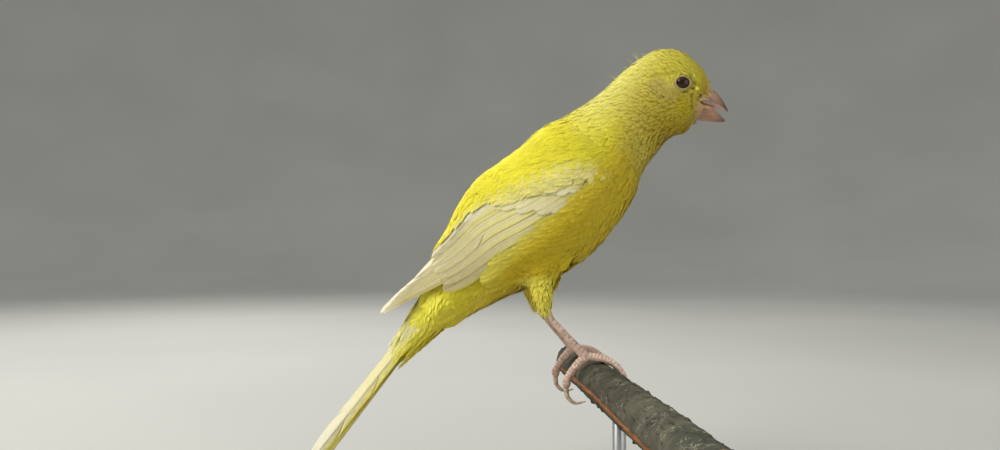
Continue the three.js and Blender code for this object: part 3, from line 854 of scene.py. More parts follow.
# Flight feathers and their coverts: a shaft with barbs so close that they lock into one vane, narrower on
# the outer side, with a split here and there. Each row is laid on the wing's own bed, every feather over
# the next one below.
def vane(rng, length, half, outer, splits=2):
    """A flight feather lying flat: places along (0..1), across (mm, + is its outer side), height (mm), how
    near the margin (0..1, -1 on the shaft), and triangles."""
    spacing, opening, close, camber, shaft = 0.3, 34, 18, 0.1, 0.12
    along, across, height, margin, faces, count = [], [], [], [], [], 0
    barbs = max(12, int(length / spacing))
    stops = np.array([0, 0.5, 0.86, 1.0])
    widths = np.array([1.0, 1.0, 0.9, 0.0])
    for side, share in ((1, outer), (-1, 2 - outer)):
        s = 0.03 + 0.955 * (np.arange(barbs) + rng.uniform(-0.15, 0.15, barbs)) / (barbs - 1)
        angle = np.radians(opening + (close - opening) * s ** 1.5 + rng.normal(0, 0.5, barbs))
        for cut in rng.uniform(0.3, 0.9, rng.integers(0, splits + 1)):
            angle -= np.radians(5) * np.where(s > cut, np.exp((cut - s) / 0.05), 0)
            angle += np.radians(4) * np.where(s <= cut, np.exp((s - cut) / 0.06), 0)

        def breadth(e):
            round_end = np.sqrt(np.clip(1 - (np.clip(e - 0.8, 0, 1) / 0.2) ** 2, 0, 1))
            return half * share * (0.45 + 0.55 * step(e, -0.05, 0.35)) * round_end

        end = s.copy()
        for _ in range(14):
            end = 0.5 * end + 0.5 * np.clip(s + breadth(end) / np.tan(angle) / length, 0, 1)
        long = np.maximum((end - s) * length / np.cos(angle), 0.15) * rng.uniform(0.97, 1.02, barbs)
        gap = 0.58 * length * 0.955 / (barbs - 1) * np.sin(angle)
        lift = rng.normal(0, 0.012, barbs)
        bend = angle[:, None] * (1.1 - 0.2 * stops[None])
        middle_along = s[:, None] + long[:, None] * stops * np.cos(bend) / length
        middle_across = long[:, None] * stops * np.sin(bend)
        for edge in (-1, 1):
            c = np.maximum(middle_across + edge * gap[:, None] * widths * np.cos(bend), 0)
            along.append(middle_along - edge * gap[:, None] * widths * np.sin(bend) / length)
            across.append(side * c)
            height.append(lift[:, None] * stops + 0.02 * edge * (stops < 1) - camber * (c / half) ** 2)
            margin.append(np.tile(stops, (barbs, 1)))
        low = count + np.arange(barbs) * 4
        high = low + barbs * 4
        for k in range(2):
            corners = [(low + k, low + k + 1, high + k + 1), (low + k, high + k + 1, high + k)]
            faces += [np.stack(c[::-side], 1) for c in corners]
        faces.append(np.stack((low + 2, low + 3, high + 2)[::-side], 1))
        count += barbs * 8
    steps = 14
    t = np.linspace(0, 0.97, steps)
    thick = shaft * (1.1 - t)
    for offset, up in ((-1, 0.0), (0, 1.0), (1, 0.0)):
        along.append(t)
        across.append(offset * thick)
        height.append(0.03 + up * 0.6 * shaft * (1.1 - t))
        margin.append(np.zeros(steps) - 1)
    k = np.arange(steps - 1)
    for row in (0, 1):
        a, b = count + row * steps + k, count + (row + 1) * steps + k
        faces += [np.stack((a, b, b + 1), 1), np.stack((a, b + 1, a + 1), 1)]
    flat = [np.concatenate([np.ravel(x) for x in values]) for values in (along, across, height, margin)]
    return (*flat, np.concatenate(faces))


bed = {                                    # the body under the folded wing, at even steps along the trunk
    "middle": [-1.3, -1.5, -1.7, -1.3, -0.5, 0.4, 0.7, 1.4, 3.1, 5.2, 6.6],
    "depth": [14.4, 16.1, 16.7, 17.2, 16.7, 14.6, 11.9, 9.9, 7.4, 5.9, 4.6],
    "width": [12.9, 14.6, 15.5, 15.6, 15, 13.2, 10.9, 9, 6.8, 5, 4.2],
}
bed_length = 70


def bed_size(which, u):
    return graded(bed[which], u / bed_length)


def bed_point(side, u, angle, lift):
    """A place on the folded wing: u back along the trunk, angle down from the back, lift off the bed."""
    turn = np.radians(np.maximum(4, angle))
    n = bed_size("middle", u) + (bed_size("depth", u) + lift) * np.cos(turn)
    y = side * (bed_size("width", u) + lift) * np.sin(turn)
    return shoulder + u[:, None] * trunk_back + n[:, None] * trunk_up + y[:, None] * np.array([0, 1, 0])


def degree_at(u):
    """How many mm of the bed a degree of its angle is."""
    return np.radians((bed_size("depth", u) + bed_size("width", u)) / 2)


def on_bed(side, root, tip, lift, along, across, height):
    """Lays a flight feather's points on the bed, from its root to its tip, each given by u and angle."""
    u = root[0] + (tip[0] - root[0]) * along
    angle = root[1] + (tip[1] - root[1]) * along
    degree = degree_at(u)
    way = np.stack([np.full_like(u, tip[0] - root[0]), (tip[1] - root[1]) * degree], 1)
    way /= np.linalg.norm(way, axis=1, keepdims=True)
    height = lift * step(u, -3, 13) + height
    return bed_point(side, u - across * way[:, 1], angle + across * way[:, 0] / degree, height)


# The last colour is painted shade: a duller ochre for the lowest feathers of each wing row, where the folded
# wing's lower edge turns from the light.
cream, pale, lemon, shade_ochre = (np.array(srgb(*c)[:3]) for c in (
    (240, 231, 170), (242, 237, 214), (238, 226, 88), (200, 184, 116)))
flight_finish = keratin("flight feather", (0.93, 0.92, 0.9, 1), (1, 1, 1, 1), 0.5, 2.5, 0.03,
                        Roughness=0.5, Specular_IOR_Level=0.35, Sheen_Weight=0.06, Sheen_Roughness=0.4)
wing_rows = [
    # name, count, lift, half width, roots and tips of the lowest and topmost feather by u and angle, how
    # much the row's ends bulge, share of the outer vane, yellow of the edge, and how deep the painted shade
    # on the lowest feather is, where along it and where not
    ("primaries", 9, 0.65, 2.0, (32, 98, 36, 66), (68.3, 47, 57, 24), 3, 0.5, 0.5, (1.0, 0.8, 0.98)),
    ("secondaries", 6, 0.95, 2.7, (20, 104, 19, 74), (52.5, 87, 50.5, 34), 0, 0.7, 0.6, (0.75, 0.85, 0.3)),
    ("tertials", 3, 1.1, 3.0, (18, 72, 18, 64), (49, 28, 37, 45), 0, 0.8, 0.35, (0.3, 0.9, 0.4)),
    ("primary_coverts", 6, 1.05, 1.5, (14, 107, 15, 98), (34, 106, 27, 97), 0, 0.6, 0.7, (0.5, 0.6, 1.0)),
    ("greater_coverts", 9, 1.25, 2.2, (8, 104, 18, 68), (19, 103, 30, 61), 0, 0.8, 0.5, (0.25, 0.6, 1.0)),
    ("median_coverts", 8, 1.45, 2.0, (6.5, 98, 12, 74), (13, 99, 22, 67), 0, 0.9, 0.3, (0.1, 0.6, 1.0)),
]


def flight_piece(name, feathers, slot):
    """Joins flight feathers: each is its points, how near the margin, which are on its outer side, how far
    along, the yellow of its edge, how deep its painted shade is, and its triangles."""
    parts = []
    rng = np.random.default_rng(len(name) * 7 + len(feathers))
    for number, feather in enumerate(feathers):
        points, margin, outer_side, along, yellow, (shade_amount, where, where_not), triangles = feather
        colour = blend(np.tile(cream, (len(points), 1)), pale, step(along, 0.3, 1.0))
        edge = step(margin, 0.25, 0.95) * outer_side * yellow + step(margin, 0.8, 1.0) * 0.12
        colour = blend(colour, lemon, edge)
        # Painted shade: the lowest feathers of a row are dulled towards ochre.
        colour = blend(colour, shade_ochre, shade_amount * step(along, where_not, where)) * (1 + rng.normal(0, 0.02))
        colour = blend(colour, pale * 0.97, 0.7 * (margin < 0))
        across = 0.42 * np.clip(margin, 0, 1) * np.where(outer_side > 0, 1, -1)
        column = (number + 0.5 + across) / len(feathers)
        parts.append((points, triangles, np.stack([column, 0.02 + 0.96 * np.clip(along, 0, 1)], 1), colour))
    return feather_piece(name, parts, slot, flight_finish)


for side, side_name in SIDES:
    rng = np.random.default_rng(40 + side)
    for name, count, lift, half, roots_at, tips_at, bulge, outer, yellow, row_shade in wing_rows:
        laid = []
        for i in range(count):
            s = i / (count - 1)
            bulged = [bulge * s * (1 - s) * 4, 0]
            root, tip = (np.array(line[:2]) + np.subtract(line[2:], line[:2]) * s + bulged
                         for line in (roots_at, tips_at))
            tip[0] += rng.normal(0, 0.5)
            ends = (bed_point(side, end[:1], end[1:], lift) for end in (root, tip))
            length = float(np.linalg.norm(np.subtract(*ends)))
            splits = int(length > 25 and i % 2)
            along, across, height, margin, triangles = vane(rng, length, half, outer, splits)
            height = height + (0.08 if name == "tertials" else 0.12) * across / half + rng.normal(0, 0.015)
            points = on_bed(side, root, tip, lift, along, across, height)
            # The painted shade is deepest on the row's lowest feather and fades towards its topmost.
            laid.append((points, margin, across > 0, along, yellow, (row_shade[0] * (1 - s) ** 0.5, *row_shade[1:]),
                         triangles[:, ::-side]))
        piece = flight_piece(f"{name}_{side_name}", laid, "flight_feathers")
        if name == "primaries":
            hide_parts(f"wing_{side_name}")


# Scapulars and lesser coverts lie from the shoulder over the top and front of each folded wing, the
# feathers of the rump over its upper edge and those of the flank over its lower edge, so that the wing is
# bedded in the body.
def cap(u, angle):
    """How far these feathers lie above the bed, so that they pass over the wing's rows."""
    back = step(u, 16, 28)
    over = step(angle, 18 - 12 * back, 46 - 20 * back)
    return (1.8 - 0.35 * back) * step(u, -1, 9) * over * step(angle, 138, 104)


def lay_on_bed(name, side, sown, kept, slimness, colour_at, seed):
    """Soft feathers over the folded wing. Each is sown at u and angle, length mm back along the trunk, and
    turns by slope degrees a mm."""
    u, angle, length, slope = (values[kept] for values in sown)
    half = slimness * length
    rng = np.random.default_rng(seed)
    loose = 0.3 * rng.uniform(0, 1, len(u)) ** 2

    def place(these, along, across, height):
        t = np.clip(along, 0, 1.05)[None]
        uu = u[these, None] + length[these, None] * t
        degree = degree_at(uu)
        tilt = slope[these, None] * degree
        wide = across[None] / vane_half * half[these, None]
        norm = np.sqrt(1 + tilt ** 2)
        middle = angle[these, None] + slope[these, None] * length[these, None] * t
        sunk = (0.5 + 0.8 * step(u[these, None], 5, -1)) * (1 - t) ** 2
        rise = loose[these, None] * t + height[None] * length[these, None] - sunk - 0.05 * wide ** 2
        aa = middle + wide / norm / degree
        u_at, lift = uu - wide * tilt / norm, cap(uu, middle) + rise
        points = bed_point(side, u_at.ravel(), aa.ravel(), lift.ravel())
        ashore = np.maximum(step(aa, 108, 132), step(uu, 5, -3)).ravel()    # where it lies on the body
        left = np.nonzero(ashore > 0)[0]
        if len(left):
            hits = [surface.find_nearest(Vector(point)) for point in points[left]]
            at, up = (np.array([hit[k] for hit in hits]) for k in (0, 1))
            on_coat = at + up * (coat_depth(at) + rise.ravel()[left] + 0.1)[:, None]
            points[left] += (on_coat - points[left]) * ashore[left, None]
        return points.reshape(len(these), -1, 3)

    at = bed_point(side, u, angle, np.zeros(len(u)))
    return tufts(name, place, nearest_places(at), colour_at, mottling(at, seed), "plumage_yellow", rng)


def shoulder_colour(points):
    """The markings, fading to cream where the small coverts reach the pale rows of the wing."""
    u, n = axis_places(points)
    angle = np.degrees(np.arctan2(np.abs(points[:, 1] - origin[1]) / (bed_size("width", u) + 1.5),
                                  (n - bed_size("middle", u)) / (bed_size("depth", u) + 1.5)))
    uneven = 2.5 * np.sin(points[:, 0] * 2.3) + 2.5 * np.sin(points[:, 2] * 3.1 + points[:, 0])
    border = np.interp(u, [0, 4, 11, 27.5, 42], [106, 99, 79, 61, 36])
    past = step(angle + uneven - border, -15, 7) * step(u, 1, 8)
    return blend(markings_and_shade(points), 0.35 * plumage["mantle"] + 0.65 * cream, past)


def flank_colour(points):
    """The markings, with paler tips where the long feathers of the flank lie over the wing."""
    u, n = axis_places(points)
    return blend(markings_and_shade(points), plumage["coverts"] * 0.9, 0.3 * step(n, -6, -1) * step(u, 6, 14))


for side, side_name in SIDES:
    rng = np.random.default_rng(90 + side)
    count = 2300
    u, angle = rng.uniform(-1, 22, count), rng.uniform(14, 112, count)
    length = 4.0 + 4.4 * step(u, 0, 14) * step(angle, 94, 70) + rng.uniform(-0.7, 0.7, count)
    slope = -1.15 * step(angle, 40, 62) * step(angle, 106, 88) + rng.normal(0, 0.12, count)
    border = np.interp(u + length, [0, 6, 11, 16, 27.5, 42], [115, 110, 95, 81, 61, 34])
    kept = angle + slope * length < border + rng.uniform(-8, 4, count)
    lay_on_bed(f"scapulars_{side_name}", side, (u, angle, length, slope), kept, 0.25, shoulder_colour,
               300 + side)
    count = 700
    u, angle = rng.uniform(13, 42, count), rng.uniform(2, 70, count)
    length = rng.uniform(6.5, 9, count)
    slope = rng.normal(0.25, 0.12, count)
    border = np.interp(u + length, [16, 27.5, 42.5, 50], [78, 58, 32, 17])
    kept = angle + slope * length < border + rng.uniform(-8, 3, count)
    lay_on_bed(f"rump_sides_{side_name}", side, (u, angle, length, slope), kept, 0.26, shoulder_colour,
               320 + side)
    count = 1150
    u, angle = rng.uniform(-6, 37, count), rng.uniform(106, 138, count)
    length = rng.uniform(5.5, 9, count)
    slope = -rng.uniform(0.7, 1.7, count)
    border = np.interp(u + length, [0, 5, 12, 22, 32, 46], [97, 96, 98, 98, 94, 97])
    border = border + rng.uniform(-5, 3, count)
    slope = np.where(angle + slope * length < border, (border - angle) / length, slope)
    kept = slice(None)
    lay_on_bed(f"flank_{side_name}", side, (u, angle, length, slope), kept, 0.24, flank_colour, 310 + side)


# The tail: twelve feathers folded nearly into one, the middle pair on top, rolled over a little to the
# right.
rng = np.random.default_rng(77)
laid = []
for i in reversed(range(tail["pairs"])):
    for side in (-1, 1):
        s = i / (tail["pairs"] - 1)
        length = tail["length"] - tail["notch"] * (1 - s) ** 2
        out = 0.7 + 2.0 * s + (0.25 if side > 0 and i == 3 else 0)
        along, across, height, margin, triangles = vane(rng, length, tail["half"], 1 - 0.45 * s)
        across = across * side
        sideways = side * (0.25 + 0.75 * along) * out + across
        up = -0.22 * i - 0.0225 * sideways ** 2 + height - 0.2 * across / tail["half"] + rng.normal(0, 0.04)
        points = tail_start + (along * length)[:, None] * tail_back + sideways[:, None] * tail_side
        points = points + up[:, None] * tail_up
        laid.append((points, margin, across * side > 0, along, 0.85 if side > 0 else 0.0, (0.0, 0, 1),
                     triangles[:, ::side]))
tail_piece = flight_piece("tail_feathers", laid, "tail_feathers")
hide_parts("tail")

# Tail coverts: long soft feathers laid round the root of the tail, cream above and lemon on the side rolled
# under.
rng = np.random.default_rng(78)
count = 300
turn = rng.uniform(0, math.tau, count)
root_v, long = rng.uniform(-13, 5, count), rng.uniform(9, 12.5, count) + 1.0 * (np.sin(turn) < 0)
loose = 0.1 + 0.4 * rng.uniform(0, 1, count) ** 3
root_shape = {                                       # of the tail's root, by how far back along the tail
    "at": [-12, -5, 0, 6, 13, 20, 28], "wide": [6.2, 5.9, 5.5, 4.9, 4.1, 3.9, 3.9],
    "deep": [6.0, 5.8, 5.0, 3.7, 2.3, 1.5, 1.2], "drop": [-1.2, -1.4, -1.4, -1.3, -1.0, -0.8, -0.7],
}


def round_tail(these, along, across, height):
    """The points of feathers laid round the tail's root."""
    t = np.clip(along, 0, 1.05)[None]
    v = root_v[these, None] + long[these, None] * t
    wide, deep, drop = (np.interp(v, root_shape["at"], root_shape[key]) for key in ("wide", "deep", "drop"))
    off = height[None] * long[these, None] + loose[these, None] * t - 0.6 * (1 - t) ** 2
    at = turn[these, None] + across[None] / vane_half * 1.15 / np.maximum(deep, 3)
    ways = ((tail_side, (wide + off) * np.cos(at)), (tail_up, (deep + off) * np.sin(at) + drop),
            (tail_back, v))
    return tail_start + sum(way * amount[..., None] for way, amount in ways)


def covert_colour(points):
    away = points - tail_start
    under = step(-away @ trunk_up, 0.8, 3.0) * step(away @ tail_back, 34, 10)
    return blend(np.tile(plumage["coverts"], (len(points), 1)), plumage["undertail"], under)


tones = mottling(rng.normal(0, 9, (count, 3)), 79, 0.05, 0.04)
tones[:, 2] *= rng.uniform(0.8, 1.5, count)
at = round_tail(np.arange(count), np.zeros(1), np.zeros(1), np.zeros(1))[:, 0]
tufts("tail_coverts", round_tail, nearest_places(at), covert_colour, tones, "plumage_yellow", rng, 26)


# Loose barbs: single threads that have come away from the coat at shoulder, flank, thigh and vent, and
# along the nape.
rng = np.random.default_rng(80)
u, n = axis_places(points_of(body.data))
legs = on_thigh(points_of(body.data)) > 0.5
zones = [((u > -9) & (u < 6) & (n > -9) & (n < 3), 45), ((u > 8) & (u < 40) & (n < -6), 60), (legs, 90),
         ((u > 36) & (u < 60) & (n < -2), 60), ((u < -12) & (n > 4), 40)]
chosen = np.concatenate([rng.choice(np.nonzero(mask)[0], many) for mask, many in zones])
at, up = points_of(body.data)[chosen], skin_normals[chosen]
way = flow(at, up)
way = unit(way + np.cross(up, way) * rng.normal(0, 0.35, len(at))[:, None])
long = rng.uniform(2.4, 5.6, len(at)) * np.where(on_thigh(at) > 0.5, 0.6, 1)
bend, lift = rng.normal(0, 0.45, len(at)), rng.uniform(0.0, 0.28, len(at))
stops = 8                                # places along each thread, with a point on both sides of each
t = np.linspace(0, 1, stops)[None, :, None]
side_way = np.cross(up, way)[:, None]
off_skin = coat_depth(at)[:, None, None] * (1 - (1 - t) ** 3) + 0.12 + (lift * long)[:, None, None] * t ** 2
line = at[:, None] + way[:, None] * long[:, None, None] * t + side_way * (bend * long)[:, None, None] * t ** 2
line = line + up[:, None] * off_skin
half = 0.07 * (1.15 - t)
verts = np.stack([line - side_way * half, line + side_way * half], 2).reshape(-1, 3)
k = np.arange(stops - 1) * 2
strip = np.concatenate([np.stack([k, k + 1, k + 3], 1), np.stack([k, k + 3, k + 2], 1)])
faces = (strip[None] + (np.arange(len(at)) * 2 * stops)[:, None, None]).reshape(-1, 3)
patch = np.stack([np.tile([-0.0002, 0.0002], stops), np.repeat(np.linspace(-0.0014, 0.0014, stops), 2)], 1)
uvs = np.repeat(nearest_places(at), 2 * stops, axis=0) + np.tile(patch, (len(at), 1))
thread_colour = blend(np.clip(markings_and_shade(verts) * 1.1, 0, 1), plumage["coverts"], np.full(len(verts), 0.45))
feather_piece("loose_barbs", [(verts, faces, uvs, thread_colour)], "plumage_yellow")


# Eyes: very dark, wet and smooth, each in a ring of pale bare skin that is its two lids. Outside, the ring
# spreads into a skirt that slopes in under the feathers.
eye_radius, lid_radius, lid_thickness, lid_out = 2.65, 1.80, 0.24, 2.12
upright = Matrix.Rotation(math.pi / 2, 3, "X")
glossy = mottled("wet dark eye", (30, 14, 10), (58, 28, 19), (1.5, 3, 0.6), Roughness=0.05, Coat_Weight=0.1,
                 Coat_Roughness=0.02, Specular_IOR_Level=0.3)
lid_skin = mottled("eyelid", (150, 134, 72), (184, 168, 96), (1.2, 3), (5, 2), Roughness=0.5,
                   Specular_IOR_Level=0.4, Subsurface_Weight=0.1, Subsurface_Scale=0.0006)
for side, side_name in SIDES:
    ball = bmesh.new()
    bmesh.ops.create_uvsphere(ball, u_segments=40, v_segments=24, radius=eye_radius * MM)
    bmesh.ops.rotate(ball, verts=ball.verts, matrix=upright)
    bmesh.ops.translate(ball, verts=ball.verts, vec=Vector(eye_place[side]) * MM)
    settle(mesh_object(f"eyeball_{side_name}", ball), "eye_dark", [f"eye_{side_name}"], glossy)
    lids = bmesh.new()
    bmesh.ops.create_circle(lids, segments=12, radius=lid_thickness * MM,
                            matrix=Matrix.Translation((lid_radius * MM, 0, 0)) @ upright.to_4x4())
    bmesh.ops.spin(lids, geom=list(lids.verts) + list(lids.edges), axis=(0, 0, 1), cent=(0, 0, 0), steps=48,
                   angle=math.tau, use_merge=True)
    bmesh.ops.remove_doubles(lids, verts=lids.verts, dist=1e-7)
    for vertex in lids.verts:
        beyond = max(0.0, math.hypot(vertex.co.x, vertex.co.y) / MM - lid_radius - 0.02)
        vertex.co.x, vertex.co.y = (c * (1 + 3.4 * beyond / 2.06) for c in (vertex.co.x, vertex.co.y))
        vertex.co.z += side * 4.2 * beyond * MM
        turn = math.atan2(vertex.co.y, vertex.co.x)
        spot = Vector((math.cos(turn) * 2.5, math.sin(turn) * 2.5, vertex.co.z / MM * 2))
        vertex.co *= 1 + 0.02 * noise.noise(spot)
        vertex.co.x *= 1.04 + 0.06 * abs(math.cos(turn)) ** 6
        vertex.co.y *= 0.93
    bmesh.ops.rotate(lids, verts=lids.verts, matrix=upright)
    bmesh.ops.rotate(lids, verts=lids.verts, matrix=Matrix.Rotation(side * -0.12, 3, "Z"))
    rim = eye_place[side] + np.array([0, side * lid_out, 0])
    bmesh.ops.translate(lids, verts=lids.verts, vec=Vector(rim) * MM)
    bmesh.ops.recalc_face_normals(lids, faces=lids.faces)
    settle(mesh_object(f"eyelids_{side_name}", lids), "plumage_head", (), lid_skin)


# The bill: two horny cones, open, pinkish with a greyer ridge and dark tips, fleshy within; a soft pale
# fold of skin joins them at each corner, and the tongue lies between.
def smooth_copy(name, node):
    """A smooth copy of a solid: its triangles paired into quads and subdivided."""
    shape = at_rest(node)
    bmesh.ops.join_triangles(shape, faces=shape.faces, angle_face_threshold=math.radians(40),
                             angle_shape_threshold=math.radians(40))
    piece = mesh_object(name, shape)
    rounded = piece.modifiers.new("rounded", "SUBSURF")
    rounded.levels = rounded.render_levels = 2
    return piece


def tube(shape, path, radii, sides, steps):
    """Adds a smooth tube along places in mm, closed at both ends."""
    path, t = np.asarray(path, float), np.linspace(0, 1, steps + 1)
    middle, radius = np.stack([graded(path[:, k], t) for k in range(3)], 1), graded(radii, t)
    way = unit(np.gradient(middle, axis=0))
    first = unit(np.cross(way, [0.05, 1.0, 0.02]))
    second = np.cross(way, first)
    ring = bmesh.ops.create_circle(shape, cap_ends=True, segments=sides, radius=1)["verts"]
    turns = {vertex: math.atan2(vertex.co.y, vertex.co.x) for vertex in ring}
    border = [e for e in shape.edges if all(v in turns for v in e.verts)]
    for k in range(steps + 1):
        if k:
            border, ring = pull_out(shape, border)
            turns = {}
            for vertex in ring:
                off = np.array(vertex.co) / MM - middle[k - 1]
                turns[vertex] = math.atan2(off @ second[k - 1], off @ first[k - 1])
        for vertex, turn in turns.items():
            out = first[k] * math.cos(turn) + second[k] * math.sin(turn)
            vertex.co = Vector(middle[k] + radius[k] * out) * MM
    bmesh.ops.contextual_create(shape, geom=border)


flesh_finish = mottled("mouth flesh", (206, 146, 122), (228, 178, 150), (1.0, 3), (3, 2), Roughness=0.35,
                       Coat_Weight=0.4, Coat_Roughness=0.2, Subsurface_Weight=0.2, Subsurface_Scale=0.001)
horn, shader, place = finish("bill horn", Specular_IOR_Level=0.5, Subsurface_Weight=0.15,
                             Subsurface_Scale=0.0008, Coat_Weight=0.12, Coat_Roughness=0.3)
x, z = (place.node("SeparateXYZ", {}, {0: place}, output=k) for k in (0, 2))
growth = place.noise(1.1, 3, 0.6, (0.35, 1, 1.2))
streaks = place.noise(2.2, 3, 0.6, (0.12, 1, 1)).between(0.4, 0.7)
pink = growth.between(0.3, 0.7).mix(srgb(170, 128, 102), srgb(194, 150, 122))
ridge_grey = (z + x * 0.85).between(147.0, 149.4)
toward_tip = (x + growth * 0.8).between(45.2, 49.8)
worn = (streaks * 0.25).mix(ridge_grey.mix(pink, srgb(150, 110, 84)), srgb(132, 102, 84))
feed(shader, Base_Color=toward_tip.mix(worn, srgb(92, 76, 68)), Roughness=0.36 + growth * 0.16,
     bump=(growth * 0.6 + streaks * 0.4, 0.05))
for node, inward in (("bill_upper", -1), ("bill_lower", 1)):
    half_bill = smooth_copy(node + "_horn", node)
    for polygon in applied(half_bill).polygons:
        polygon.material_index = int(polygon.normal.z * inward > 0.55 and abs(polygon.normal.y) < 0.5)
    settle(half_bill, "bill_horn", [node], horn, flesh_finish)
settle(smooth_copy("tongue_flesh", "tongue"), "mouth_flesh", ["tongue"], flesh_finish)

gape_finish = mottled("gape skin", (206, 172, 112), (224, 198, 148), (0.9, 3), (3, 3), 0.06, Roughness=0.5,
                      Specular_IOR_Level=0.4, Subsurface_Weight=0.15, Subsurface_Scale=0.0008)
fold = ((30.2, 2.6, 71.5), (28.6, 3.4, 71.5), (27.0, 4.1, 71.0), (26.3, 4.3, 70.2), (27.0, 4.15, 69.7),
        (28.6, 3.5, 69.5), (30.0, 2.7, 69.2))
above = ((26.2, 3.9, 71.6), (27.4, 3.7, 72.5), (29.0, 3.2, 72.8), (30.6, 2.5, 72.5))
gape = bmesh.new()
for side in (-1, 1):
    for path, radii in ((fold, [0.28, 0.45, 0.56, 0.58, 0.52, 0.4, 0.25]), (above, [0.4, 0.85, 0.9, 0.5])):
        tube(gape, [bird(px, side * py, pz) for px, py, pz in path], radii, 10, 28)
bmesh.ops.recalc_face_normals(gape, faces=gape.faces)
settle(mesh_object("gape_folds", gape), "mouth_flesh", (), gape_finish)


# Feet: shin, heel and toes under rings of horny scutes, with soft pads where they press on the bark.
scaly, shader, place = finish("scaled skin", Roughness=0.55, Specular_IOR_Level=0.4, Subsurface_Weight=0.12,
                              Subsurface_Scale=0.0008)
groove = place.node("Attribute", {"attribute_name": "groove"}, output=2)
blush = place.noise(0.7, 3, 0.6).between(0.3, 0.7)
flecks = place.noise(2.4, 3, 0.65).between(0.52, 0.64)
plates = (flecks * 0.45).mix(blush.mix(srgb(202, 170, 154), srgb(228, 204, 188)), srgb(136, 112, 98))
feed(shader, Base_Color=(groove * 0.7).mix(plates, srgb(112, 82, 70)), bump=(place.noise(3, 4, 0.7), 0.12))
foot_y = 9.0                                         # how far each foot stands from the bird's middle plane
toe_path = perch["radius"] + 0.3 + 0.85 + 0.05       # the toes' middle line, from the perch's axis
# Each front toe's name, how far it swings out, the angle it ends at, and how many degrees its claw reaches
# on.
front_toes = (("inner", -3.6, 64, 40), ("middle", 0.4, 92, 44), ("outer", 3.8, 66, 38))


def perch_x(y):
    return perch["slant"] * y


def perch_at(y, angle, radius):
    """A place round the perch, at an angle from straight up towards the front."""
    turn = math.radians(angle)
    return bird(perch_x(y) + radius * math.sin(turn), y, radius * math.cos(turn))


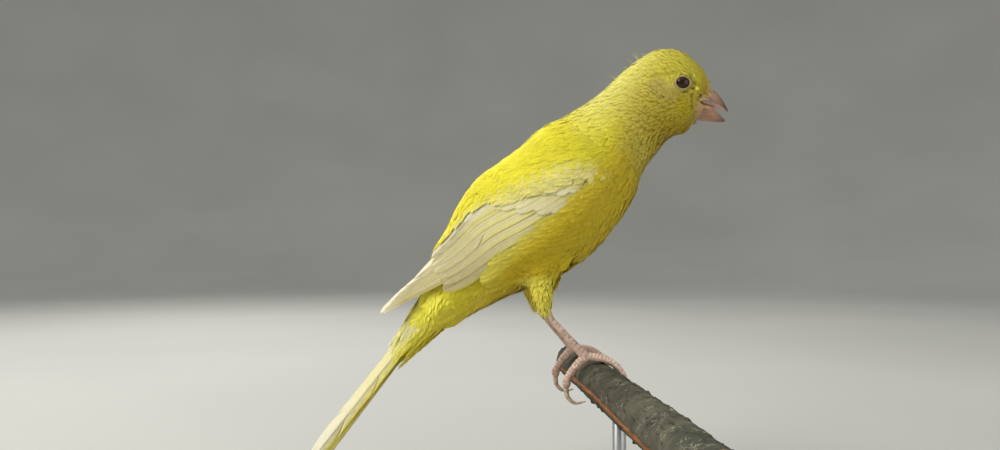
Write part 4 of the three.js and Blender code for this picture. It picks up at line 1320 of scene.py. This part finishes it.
for side, side_name in SIDES:
    y = side * foot_y
    heel = perch_at(y, -28, 6.9)
    lines = [np.array([bird(-12.2 + perch_x(y) - perch_x(-foot_y), y, 16.2), heel])]
    for _, swing, end, _ in front_toes:
        stops = ((0.15, -8, toe_path + 0.25), (0.45, end * 0.35, toe_path), (0.75, end * 0.7, toe_path),
                 (1, end, toe_path))
        toe = [perch_at(y + side * swing * t, turn, radius) for t, turn, radius in stops]
        lines.append(np.array([heel, *toe]))
    hind_toe = [bird(perch_x(y) + px, y, pz) for px, pz in ((-6, 3.3), (-7.9, 0.3), (-8, -1.6))]
    lines.append(np.array([heel, *hind_toe]))
    shape = at_rest(f"foot_{side_name}")
    for course in lines[1:]:
        tip = Vector(course[-1] + unit(course[-1] - course[-2]) * 0.35) * MM
        bmesh.ops.create_icosphere(shape, subdivisions=2, radius=0.68 * MM, matrix=Matrix.Translation(tip))
    foot = mesh_object(f"foot_skin_{side_name}", shape)
    one_surface(foot, 0.00017, 5)

    # Which line each point belongs to, its place on that line, and its share of the line's length. Line 0
    # is the shin.
    at, up = points_of(foot.data), normals_of(foot.data)
    best, along_line, which = np.full(len(at), 1e9), np.zeros(len(at)), np.zeros(len(at), int)
    middle, share = at.copy(), np.zeros(len(at))
    for number, course in enumerate(lines):
        start, whole = 0.0, sum(np.linalg.norm(b - a) for a, b in zip(course, course[1:]))
        for a, b in zip(course, course[1:]):
            span = b - a
            t = np.clip((at - a) @ span / (span @ span), 0, 1)
            gap = np.linalg.norm(at - a - t[:, None] * span, axis=1)
            nearer = gap < best - 1e-6
            best, which = np.where(nearer, gap, best), np.where(nearer, number, which)
            along_line = np.where(nearer, start + t * np.linalg.norm(span), along_line)
            middle[nearer], share[nearer] = (a + t[:, None] * span)[nearer], along_line[nearer] / whole
            start += np.linalg.norm(span)
    shin, hind = which == 0, which == 4
    slimmer = np.where(shin, 0.62 + 0.38 * step(share, 0, 0.8), 1.02 - 0.24 * share ** 2)
    at = middle + (at - middle) * slimmer[:, None]
    at = at + np.where(shin, 1 - share, 0)[:, None] * np.array([0.7, 0, -0.2])
    at = at + (shin * step(share, 0.1, 0.0))[:, None] * np.array([-0.5, 0, 1.7])

    # The scutes, the pads under the toes and small unevenness, raised along the normals.
    period = np.where(shin, 1.25, 0.85)
    phase = (along_line / period + 0.25 * noise_at(at, 0.8) + 0.12 * np.sin(along_line * 2.1)) % 1.0
    plate = 1 - np.abs(2 * phase - 1) ** 5
    from_perch = np.stack([at[:, 0] - origin[0] - perch_x(at[:, 1] - origin[1]), at[:, 2] - origin[2]], 1)
    outward = unit(from_perch)
    facing = up[:, 0] * outward[:, 0] + up[:, 2] * outward[:, 1]
    front = np.where(shin, step(up[:, 0] * 0.7 + 0.2, -0.1, 0.4), step(facing, -0.25, 0.35))
    pads = (1 - front) * (which > 0) * 0.12 * np.maximum(0, np.sin(along_line * 2 * math.pi / 2.6))
    pads = pads + 0.28 * hind * step(share, 0.62, 0.85) * step(share, 1.02, 0.9)
    shift = 0.14 * (plate - 0.6) * front + pads + noise_at(at, 2.1) * 0.09 * (1 - 0.5 * front)
    write(foot.data.vertices, "co", (at + up * shift[:, None]) * MM)
    grooves = foot.data.attributes.new("groove", "FLOAT", "POINT")
    write(grooves.data, "value", np.clip(1 - plate, 0, 1) * front)
    foot.data.update()
    foot.data.shade_smooth()
    settle(foot, "leg_skin", [f"foot_{side_name}"], scaly)


# Claws: thin curved horn, translucent grey in soft paler and darker patches, each grown from inside the
# toe's end.
claw_horn = mottled("claw horn", (170, 154, 130), (216, 204, 180), (1.2, 3, 0.6), (3, 2), 0.03,
                    Roughness=0.32, Specular_IOR_Level=0.5, Coat_Weight=0.2, Coat_Roughness=0.2,
                    Subsurface_Weight=0.2, Subsurface_Scale=0.0006)
hind_claw = ((-8.0, -1.2), (-8.0, -2.2), (-7.6, -3.9), (-5.8, -5.3), (-3.2, -4.9))
for side, side_name in SIDES:
    y = side * foot_y
    paths = {toe: [perch_at(side * (foot_y + swing * spread_out), end + turn, toe_path + off)
                   for spread_out, turn, off in ((1, -3, 0), (1, 6, 0.05), (1.04, 6 + reach * 0.5, 0.15),
                                                 (1.06, 6 + reach, -0.25))]
             for toe, swing, end, reach in front_toes}
    paths["hind"] = [bird(perch_x(y) + px, y, pz) for px, pz in hind_claw]
    for toe, path in paths.items():
        shape = bmesh.new()
        tube(shape, path, [0.55, 0.64, 0.54, 0.4, 0.14] if toe == "hind" else [0.5, 0.56, 0.4, 0.12], 12, 20)
        bmesh.ops.recalc_face_normals(shape, faces=shape.faces)
        claw = mesh_object(f"horn_{side_name}_{toe}", shape)
        settle(claw, "claw_horn", [f"claw_{side_name}_{toe}"], claw_horn)


size = {"cad": [list(corner) for corner in cad_box], "visual": [list(corner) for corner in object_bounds()]}
